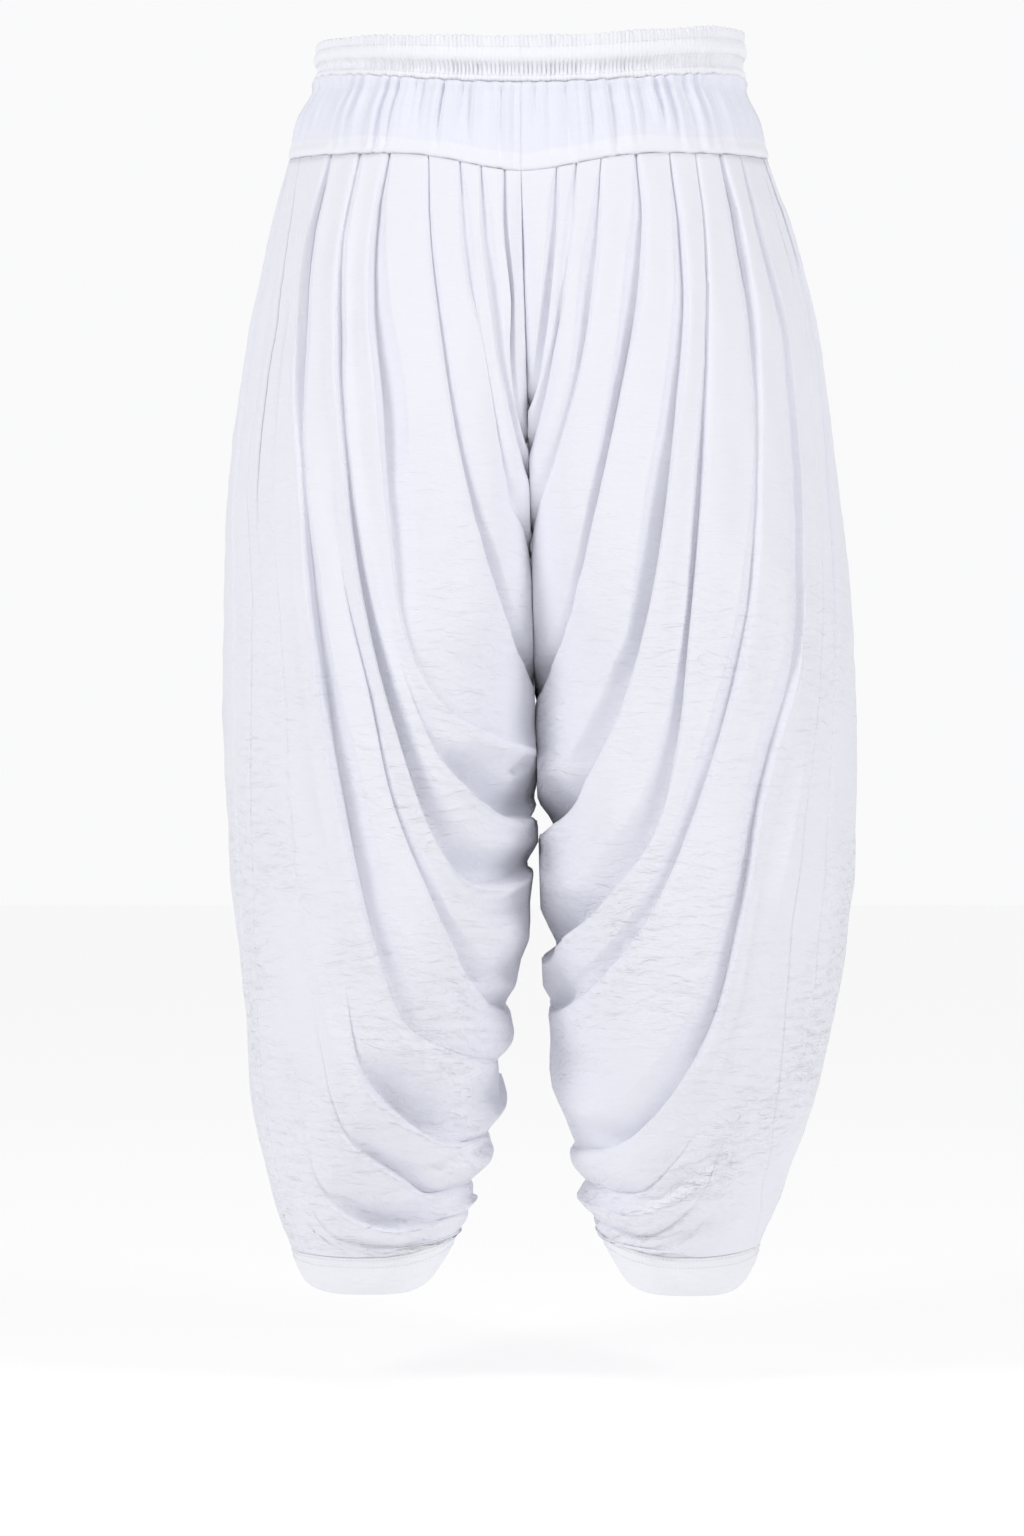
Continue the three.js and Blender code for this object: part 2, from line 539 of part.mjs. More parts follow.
// A closed wall of cloth on a grid of points. Seams use the level direction out, so that the
// walls of two pieces that meet there lie side by side.
function wallOn(grid, wall) {
  const columns = grid.length;
  const rows = grid[0].length;
  const at = (i, j) => grid[i][j].point;
  const inward = grid.map((column, i) => column.map((cell, j) => {
    const across = new THREE.Vector3();
    const down = new THREE.Vector3();
    const side = i === 0 || i === columns - 1;
    const end = j === 0 || j === rows - 1;
    across.subVectors(at(Math.min(i + 1, columns - 1), j), at(Math.max(i - 1, 0), j));
    down.subVectors(at(i, Math.min(j + 1, rows - 1)), at(i, Math.max(j - 1, 0)));
    const level = new THREE.Vector3(-cell.out.y, cell.out.x, 0);
    if (side) across.copy(level);
    if (end && !side) down.copy(Math.abs(across.z) > 0.7 * across.length() ? level : new THREE.Vector3(0, 0, 1));
    const normal = new THREE.Vector3().crossVectors(across, down).normalize();
    if (normal.dot(cell.out) < 0) normal.negate();
    return cell.point.clone().addScaledVector(normal, -wall);
  }));
  const positions = [];
  const outerAt = (i, j) => i * rows + j;
  const innerAt = (i, j) => columns * rows + i * rows + j;
  grid.forEach((column) => column.forEach((cell) => positions.push(...cell.point.toArray())));
  inward.forEach((column) => column.forEach((point) => positions.push(...point.toArray())));
  const faces = [];
  const quad = (a, b, c, d) => faces.push(a, b, c, a, c, d);
  for (let i = 0; i < columns - 1; i += 1) {
    for (let j = 0; j < rows - 1; j += 1) {
      quad(outerAt(i, j), outerAt(i, j + 1), outerAt(i + 1, j + 1), outerAt(i + 1, j));
      quad(innerAt(i, j), innerAt(i + 1, j), innerAt(i + 1, j + 1), innerAt(i, j + 1));
    }
  }
  for (let i = 0; i < columns - 1; i += 1) {
    quad(outerAt(i + 1, 0), innerAt(i + 1, 0), innerAt(i, 0), outerAt(i, 0));
    quad(outerAt(i, rows - 1), innerAt(i, rows - 1), innerAt(i + 1, rows - 1), outerAt(i + 1, rows - 1));
  }
  for (let j = 0; j < rows - 1; j += 1) {
    quad(outerAt(0, j), innerAt(0, j), innerAt(0, j + 1), outerAt(0, j + 1));
    quad(outerAt(columns - 1, j + 1), innerAt(columns - 1, j + 1), innerAt(columns - 1, j), outerAt(columns - 1, j));
  }
  return solid(positions, faces);
}

// A closed ring made of one section carried round: rings[i][k], both closing on themselves
function ringOf(rings) {
  const count = rings[0].length;
  const positions = rings.flatMap((ring) => ring.flatMap((point) => point.toArray()));
  const faces = [];
  for (let i = 0; i < rings.length; i += 1) {
    const next = (i + 1) % rings.length;
    for (let k = 0; k < count; k += 1) {
      const up = (k + 1) % count;
      faces.push(i * count + k, next * count + k, next * count + up);
      faces.push(i * count + k, next * count + up, i * count + up);
    }
  }
  return solid(positions, faces);
}

// A geometry from points and faces, turned so that its faces look outwards
function solid(positions, faces) {
  let volume = 0;
  const corner = (index) => new THREE.Vector3().fromArray(positions, index * 3);
  for (let i = 0; i < faces.length; i += 3) {
    volume += corner(faces[i]).dot(corner(faces[i + 1]).cross(corner(faces[i + 2])));
  }
  if (volume < 0) {
    for (let i = 0; i < faces.length; i += 3) {
      [faces[i + 1], faces[i + 2]] = [faces[i + 2], faces[i + 1]];
    }
  }
  const geometry = new THREE.BufferGeometry();
  geometry.setAttribute('position', new THREE.Float32BufferAttribute(positions, 3));
  geometry.setIndex(faces);
  geometry.computeVertexNormals();
  return geometry;
}

const salwar = new THREE.Group();
salwar.name = 'patiala_salwar';

function add(name, geometry, colour) {
  const material = new THREE.MeshStandardMaterial({ color: colour, roughness: 0.85, metalness: 0 });
  const mesh = new THREE.Mesh(geometry, material);
  mesh.name = name;
  salwar.add(mesh);
}

// How far the waist sinks at the centre back and, less, at the centre front
function waistDip(face, w) {
  const c = Math.sin((w * Math.PI) / 2);
  return (face === 'back' ? 12 : 4) * c * c;
}

// Stations all the way round the waist, from centre back over the wearer's right side
function roundTheWaist(count) {
  const stations = [];
  for (let i = 0; i < count; i += 1) {
    const turn = (4 * i) / count;
    const quarter = Math.floor(turn);
    const part = turn - quarter;
    const w = quarter % 2 === 0 ? 1 - part : part;
    stations.push({
      leg: quarter < 2 ? 'right' : 'left',
      face: quarter === 0 || quarter === 3 ? 'back' : 'front',
      w,
    });
  }
  return stations;
}

// Waistband: one closed ring, shirred in even gathers
function waistband() {
  const stations = roundTheWaist(WAIST_GATHERS * 2);
  const rings = stations.map(({ leg, face, w }, i) => {
    const { point, out } = place(leg, face, w, 0);
    const wave = i % 2 === 0 ? 1 : -1;
    const uneven = 1 + 0.25 * Math.sin(i * 1.9);
    return BAND_PROFILE.map(({ out: away, z, gather }) => {
      const top = z === BAND_TOP;
      const ripple = wave * gather * uneven * 0.6;
      const lift = top ? 0.8 * Math.sin(i * 1.1) : 0;
      const at = point.clone().addScaledVector(out, away + ripple);
      at.z = z + lift - waistDip(face, w) + (leg === 'right' ? 2 : 0) * Math.cos(w * Math.PI / 2) ** 2;
      return at;
    });
  });
  return ringOf(rings);
}

// Half the belt, from the centre back seam over the side to the centre front seam
function beltHalf(leg) {
  const grid = [];
  const columns = BELT_GATHERS;
  for (let i = 0; i <= columns; i += 1) {
    const turn = (2 * i) / columns;
    const face = turn <= 1 ? 'back' : 'front';
    const w = turn <= 1 ? 1 - turn : turn - 1;
    const sign = leg === 'left' ? -1 : 1;
    const column = [];
    const top = BAND_BOTTOM - EDGE_GAP - waistDip(face, w)
      + (leg === 'right' ? 2 : 0) * Math.cos((w * Math.PI) / 2) ** 2;
    const bottom = beltEdge(w);
    for (let j = 0; j <= 3; j += 1) {
      const down = j / 3;
      const z = top + (bottom - top) * down;
      const { point, out } = place(leg, face, w, z);
      const seam = Math.min(1, 4 * Math.min(i, columns - i) / columns);
      const fullness = 1.1 * Math.sin(Math.PI * down) + 0.5 * (1 - down);
      const wave = (i % 2 === 0 ? 1 : -1) * fullness * seam * (1 + 0.3 * Math.sin(2.3 * i));
      point.addScaledVector(out, wave);
      if (i === 0 || i === columns) point.x += (sign * SEAM_GAP) / 2;
      column.push({ point, out });
    }
    grid.push(column);
  }
  return wallOn(grid, BELT_WALL);
}

// Cuff: a folded band round the ankle, following the hem above and its own level below
function cuff(leg) {
  const size = CUFFS[leg];
  const sign = leg === 'left' ? -1 : 1;
  const rings = [];
  for (let i = 0; i < CUFF_COLUMNS; i += 1) {
    const turn = (2 * i) / CUFF_COLUMNS;
    const face = turn <= 1 ? 'back' : 'front';
    const w = turn <= 1 ? turn : 2 - turn;
    const c = Math.cos(Math.PI * turn);
    const s = Math.sin(Math.PI * turn);
    const topZ = hemEdge(leg, w) - EDGE_GAP / 2;
    const high = place(leg, face, w, topZ).point;
    const lowZ = size.low + (size.outer - size.low) * Math.max(0, c) ** 2
      + (size.inner - size.low) * Math.max(0, -c) ** 2;
    const depth = s > 0 ? size.back : size.front;
    const low = new THREE.Vector3(size.x + sign * size.halfWidth * c, size.y - depth * s, lowZ);
    const level = (t, inset) => {
      const point = high.clone().lerp(low, t);
      const centre = new THREE.Vector3(size.x, size.y, point.z);
      const away = point.clone().sub(centre);
      const bulge = 1.2 * Math.sin(Math.PI * t);
      return centre.addScaledVector(away, 1 + (bulge - inset) / away.length());
    };
    rings.push([
      level(0, 0.4),
      level(0, CUFF_WALL + 0.4),
      level(0.5, CUFF_WALL + 0.4),
      level(1, CUFF_WALL),
      level(1, 0),
      level(0.5, 0),
    ]);
  }
  return ringOf(rings);
}

function addLeg(leg, folds) {
  const numbered = [...folds, OUTER_SIDE].map((fold, index) => ({ fold, index }));
  const seam = folds.findIndex((fold) => fold.name === 'side seam');
  const inside = numbered.slice(0, seam + 1);
  const outside = numbered.slice(seam);
  const back = goreGrid(leg, 'back', inside);
  const front = goreGrid(leg, 'front', inside);
  const sideBack = goreGrid(leg, 'back', outside);
  const sideFront = goreGrid(leg, 'front', outside).reverse().slice(1);
  const side = [...sideBack, ...sideFront];
  // The side panel stands clear of both gores by the seam's gap
  const shift = (column, toward) => column.forEach((cell) => {
    const level = new THREE.Vector3(-cell.out.y, cell.out.x, 0);
    const across = toward[Math.min(1, toward.length - 1)].point.clone().sub(cell.point);
    cell.point.addScaledVector(level, 2 * SEAM_GAP * Math.sign(across.dot(level)));
  });
  shift(side[0], side[1]);
  shift(side[side.length - 1], side[side.length - 2]);
  add(`back_gore_${leg}`, wallOn(back, GORE_WALL), CLOTH);
  add(`side_panel_${leg}`, wallOn(side, GORE_WALL), CLOTH);
  add(`front_gore_${leg}`, wallOn(front, GORE_WALL), CLOTH);
}

add('waistband', waistband(), CLOTH_DOUBLE);
add('belt_left', beltHalf('left'), CLOTH_DOUBLE);
add('belt_right', beltHalf('right'), CLOTH_DOUBLE);
addLeg('left', LEFT_FOLDS);
addLeg('right', RIGHT_FOLDS);
add('cuff_left', cuff('left'), CLOTH_DOUBLE);
add('cuff_right', cuff('right'), CLOTH_DOUBLE);

export default salwar;
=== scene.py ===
# %% [markdown]
# # A patiala salwar, draped as it is worn
#
# A patiala salwar is cut from far more cloth than a pair of trousers needs. The extra width is laid
# in pleats along a fitted belt, and it is sewn so that each pleat runs down the outside of the leg
# and then swings across to the inseam. Worn, every pleat hangs as a long U. That is the whole look
# of the garment, so this lesson builds the cloth fold by fold along those curves.
#
# The frame comes first. It holds the solid pieces of the part, and every piece made here rides on it.

# %% The frame
import math

import bpy
import numpy as np
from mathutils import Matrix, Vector, noise


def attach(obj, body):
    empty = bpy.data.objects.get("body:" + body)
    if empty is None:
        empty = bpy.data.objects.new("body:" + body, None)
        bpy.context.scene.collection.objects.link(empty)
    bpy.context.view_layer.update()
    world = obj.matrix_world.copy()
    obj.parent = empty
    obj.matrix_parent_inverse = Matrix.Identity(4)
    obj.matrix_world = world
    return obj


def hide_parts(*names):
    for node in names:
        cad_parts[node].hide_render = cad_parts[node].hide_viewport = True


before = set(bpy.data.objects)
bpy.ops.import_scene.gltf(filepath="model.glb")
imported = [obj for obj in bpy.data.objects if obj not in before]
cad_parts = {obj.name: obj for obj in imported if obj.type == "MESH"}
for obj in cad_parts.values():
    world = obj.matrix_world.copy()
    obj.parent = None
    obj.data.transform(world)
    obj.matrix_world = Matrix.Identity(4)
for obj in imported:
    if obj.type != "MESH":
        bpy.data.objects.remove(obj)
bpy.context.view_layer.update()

print("nodes to dress:", len(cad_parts))

# %% [markdown]
# ## Sizes
#
# Everything is worked out in millimetres from a few named sizes and tables, and turned into metres
# only when a mesh is made. The form table is the garment without its folds: a row per level, with
# the outline seen from behind (left, right), how far each leg stands from the plane between them,
# where the leg is deepest, and how deep it is to the back and to the front.

# %% Sizes of the worn form
MM = 0.001
EDGE_GAP = 0.5
BAND_BOTTOM = -22
BELT_BOTTOM = -74
BELT_DIP = 10
BELT_POINT = 14
SEAM_TOP = -98
CROTCH = -455
HEM = -890
MIDDLE_AT_BELT = -7
MIDDLE_LEAN = 0.0275

FORM_COLUMNS = ("z", "left", "right", "left_gap", "right_gap", "crown", "back", "front", "turn")
FORM = np.array([
    (14, 157, 158, 0.15, 0.15, 0, 112, 110, 1),
    (-22, 158, 157, 0.15, 0.15, 0, 113, 111, 1),
    (-47, 171, 168, 0.15, 0.15, 0, 119, 116, 1),
    (-74, 179, 177, 0.15, 0.15, 0.01, 125, 120, 0.992),
    (-130, 194, 196, 0.15, 0.15, 0.11, 138, 130, 0.911),
    (-200, 209, 212, 0.15, 0.15, 0.23, 149, 138, 0.812),
    (-300, 223, 228, 0.15, 0.15, 0.36, 156, 144, 0.705),
    (-400, 229, 238, 0.15, 0.15, 0.46, 161, 148, 0.6),
    (-500, 229, 243, 0.15, 0.15, 0.49, 163, 150, 0.51),
    (-600, 223, 242, 6, 3.5, 0.5, 159, 148, 0.495),
    (-640, 219, 238, 14, 3, 0.5, 155, 144, 0.493),
    (-700, 213, 230, 25, 4, 0.51, 146, 137, 0.49),
    (-780, 207, 211, 38, 15, 0.52, 126, 116, 0.488),
    (-840, 194, 190, 53, 25, 0.52, 100, 86, 0.488),
    (-890, 178, 170, 74, 42, 0.51, 68, 52, 0.49),
], float)[::-1]
LEVEL = {name: FORM[:, i] for i, name in enumerate(FORM_COLUMNS)}


def ease(x):
    """0 to 1 with no corner at either end."""
    t = np.clip(x, 0, 1)
    return t * t * (3 - 2 * t)


def through(xs, ys, at):
    """A smooth curve through the points, xs rising, read at any number of places."""
    xs, ys = np.asarray(xs, float), np.asarray(ys, float)
    x = np.clip(at, xs[0], xs[-1])
    i = np.clip(np.searchsorted(xs, x) - 1, 0, len(xs) - 2)
    before = np.maximum(np.arange(len(xs)) - 1, 0)
    after = np.minimum(np.arange(len(xs)) + 1, len(xs) - 1)
    slope = (ys[after] - ys[before]) / (xs[after] - xs[before])
    h = xs[i + 1] - xs[i]
    t = (x - xs[i]) / h
    return ((2 * t**3 - 3 * t**2 + 1) * ys[i] + (t**3 - 2 * t**2 + t) * h * slope[i]
            + (3 * t**2 - 2 * t**3) * ys[i + 1] + (t**3 - t**2) * h * slope[i + 1])


def form(name, z):
    return through(LEVEL["z"], LEVEL[name], z)


def middle_at(z):
    return MIDDLE_AT_BELT + MIDDLE_LEAN * np.maximum(0, SEAM_TOP - z)


def belt_edge(w):
    """Where the belt ends and the gores begin: lower at the centre back and front."""
    c = np.sin(np.clip(w, 0, 1) * math.pi / 2)
    return BELT_BOTTOM - BELT_DIP * c - BELT_POINT * c**16


HEM_RISE = {"left": (2, 15), "right": (6, 16)}


def hem_edge(leg, w):
    """Where the gores end and the cuff begins."""
    c = np.cos(np.clip(w, 0, 1) * math.pi)
    outer, inner = HEM_RISE[leg]
    return HEM + outer * np.maximum(0, c) ** 2 + inner * np.maximum(0, -c) ** 2


def waist_dip(face, w):
    c = np.sin(np.clip(w, 0, 1) * math.pi / 2)
    return (12 if face == "back" else 4) * c * c


def waist_lift(leg, w, z):
    """At the sides the waistband sits higher on the right and is narrower on the left."""
    c = np.cos(np.clip(w, 0, 1) * math.pi / 2) ** 2
    return c * (6.5 if leg == "right" else 1.5 - 0.26 * (z + 4))


# %% [markdown]
# ## The form as a surface
#
# A level cut through one leg is two quarter curves: from the outer side to the deepest point, and
# from there in to the centre seam. Above the crotch the centre seam curves away from the legs, and
# below it the quarter closes on the inseam. A point is named by its leg, by back or front, by w, the
# share of the way round from the outer side, and by its height z. `Skin` reads such points quickly.

# %% The form as a surface
class Skin:
    """The form of one half leg, tabled over w and z, with the level direction out of the cloth."""

    def __init__(self, leg, face):
        self.leg, self.face = leg, face
        self.sign = -1 if leg == "left" else 1
        self.to_back = -1 if face == "back" else 1
        self.z = np.arange(-896.0, 22.0, 1.0)
        self.w = np.linspace(0, 1, 401)
        z = self.z[:, None]
        middle = middle_at(z)
        outer = form(leg, z) - self.sign * middle
        inner = form(leg + "_gap", z)
        crown = inner + (outer - inner) * form("crown", z)
        depth = form(face, z)
        down = np.clip((SEAM_TOP - z) / (SEAM_TOP - CROTCH), 0, 1)
        seam = form(face, SEAM_TOP) * (1 - down**2.4) ** 0.75
        seam = np.where(z >= SEAM_TOP, depth, seam)
        low = np.clip((BELT_BOTTOM - z) / 250, 0, 1)
        outer_power, inner_power = 2 / (2 + 0.25 * low), 2 / (2 + 0.5 * low)
        angle = np.linspace(0, math.pi, 241)[None, :]
        c, s = np.abs(np.cos(angle)), np.abs(np.sin(angle))
        outside = angle <= math.pi / 2 + 1e-9
        x = np.where(outside, crown + (outer - crown) * c**outer_power,
                     crown - (crown - inner) * c**inner_power)
        y = np.where(outside, depth * s**outer_power, seam + (depth - seam) * s**inner_power)
        steps = np.cumsum(np.hypot(np.diff(x), np.diff(y)), 1)
        along = np.concatenate([np.zeros((len(z), 1)), steps], 1)
        self.length = along[:, -1]
        deepest, turn = along[:, 120:121], form("turn", z)
        share = self.w[None, :]
        past = (share - turn) / np.maximum(1 - turn, 1e-6)
        goal = np.where(share <= turn, share / turn * deepest, deepest + past * (along[:, -1:] - deepest))
        self.x = np.array([np.interp(g, a, v) for g, a, v in zip(goal, along, x)])
        self.y = np.array([np.interp(g, a, v) for g, a, v in zip(goal, along, y)])
        self.x = middle + self.sign * self.x
        self.y = self.to_back * self.y
        dx, dy = np.gradient(self.x, axis=1), np.gradient(self.y, axis=1)
        reach = np.maximum(np.hypot(dx, dy), 1e-9)
        side = -self.to_back * self.sign
        self.out_x, self.out_y = -side * dy / reach, side * dx / reach
        self.out_x[:, 0], self.out_y[:, 0] = self.sign, 0
        below = self.z < SEAM_TOP - 20
        self.out_x[below, -1], self.out_y[below, -1] = -self.sign, 0

    def read(self, table, w, z):
        i = np.clip((z - self.z[0]), 0, len(self.z) - 1.001)
        j = np.clip(w, 0, 1) * (len(self.w) - 1.001)
        i0, j0 = i.astype(int), j.astype(int)
        a, b = i - i0, j - j0
        return ((1 - a) * (1 - b) * table[i0, j0] + (1 - a) * b * table[i0, j0 + 1]
                + a * (1 - b) * table[i0 + 1, j0] + a * b * table[i0 + 1, j0 + 1])

    def place(self, w, z, height):
        """Points of the cloth, standing out from the form by height, each leg on its own side."""
        w, z, height = np.broadcast_arrays(np.asarray(w, float), np.asarray(z, float), height)
        out_x, out_y = self.read(self.out_x, w, z), self.read(self.out_y, w, z)
        x = self.read(self.x, w, z) + out_x * height
        y = self.read(self.y, w, z) + out_y * height
        limit = middle_at(z) + self.sign * 0.15
        x = np.where(self.sign * (x - limit) < 0, limit, x)
        return np.stack([x, y, z], -1)

    def share_at(self, x, z):
        """The w of points seen from behind at x and z."""
        level = np.arange(len(self.w)) / (len(self.w) - 1)
        found = []
        for one_x, one_z in zip(x, z):
            across = self.read(self.x, level, np.full(len(level), one_z))
            found.append(np.interp(-self.sign * one_x, -self.sign * across, level))
        return np.array(found)

    def round(self, z):
        return np.interp(z, self.z, self.length)


SKIN = {(leg, face): Skin(leg, face) for leg in ("left", "right") for face in ("back", "front")}
print("half leg round at the knee, mm:", round(float(SKIN["left", "back"].round(-500))))

# %% [markdown]
# ## The folds
#
# Each row is one pleat, followed from the belt to where it ends on the inseam or the hem. Its
# stations say where the fold's lip runs, as seen from behind (x, z), how wide the shaded valley
# beside it is, and how far the lip stands above that valley. Every lip is on the fold's outer and
# lower side, with the valley tucked in behind it, so the two legs mirror each other without being
# equal. Rows with no depth only guide the cloth between their neighbours.

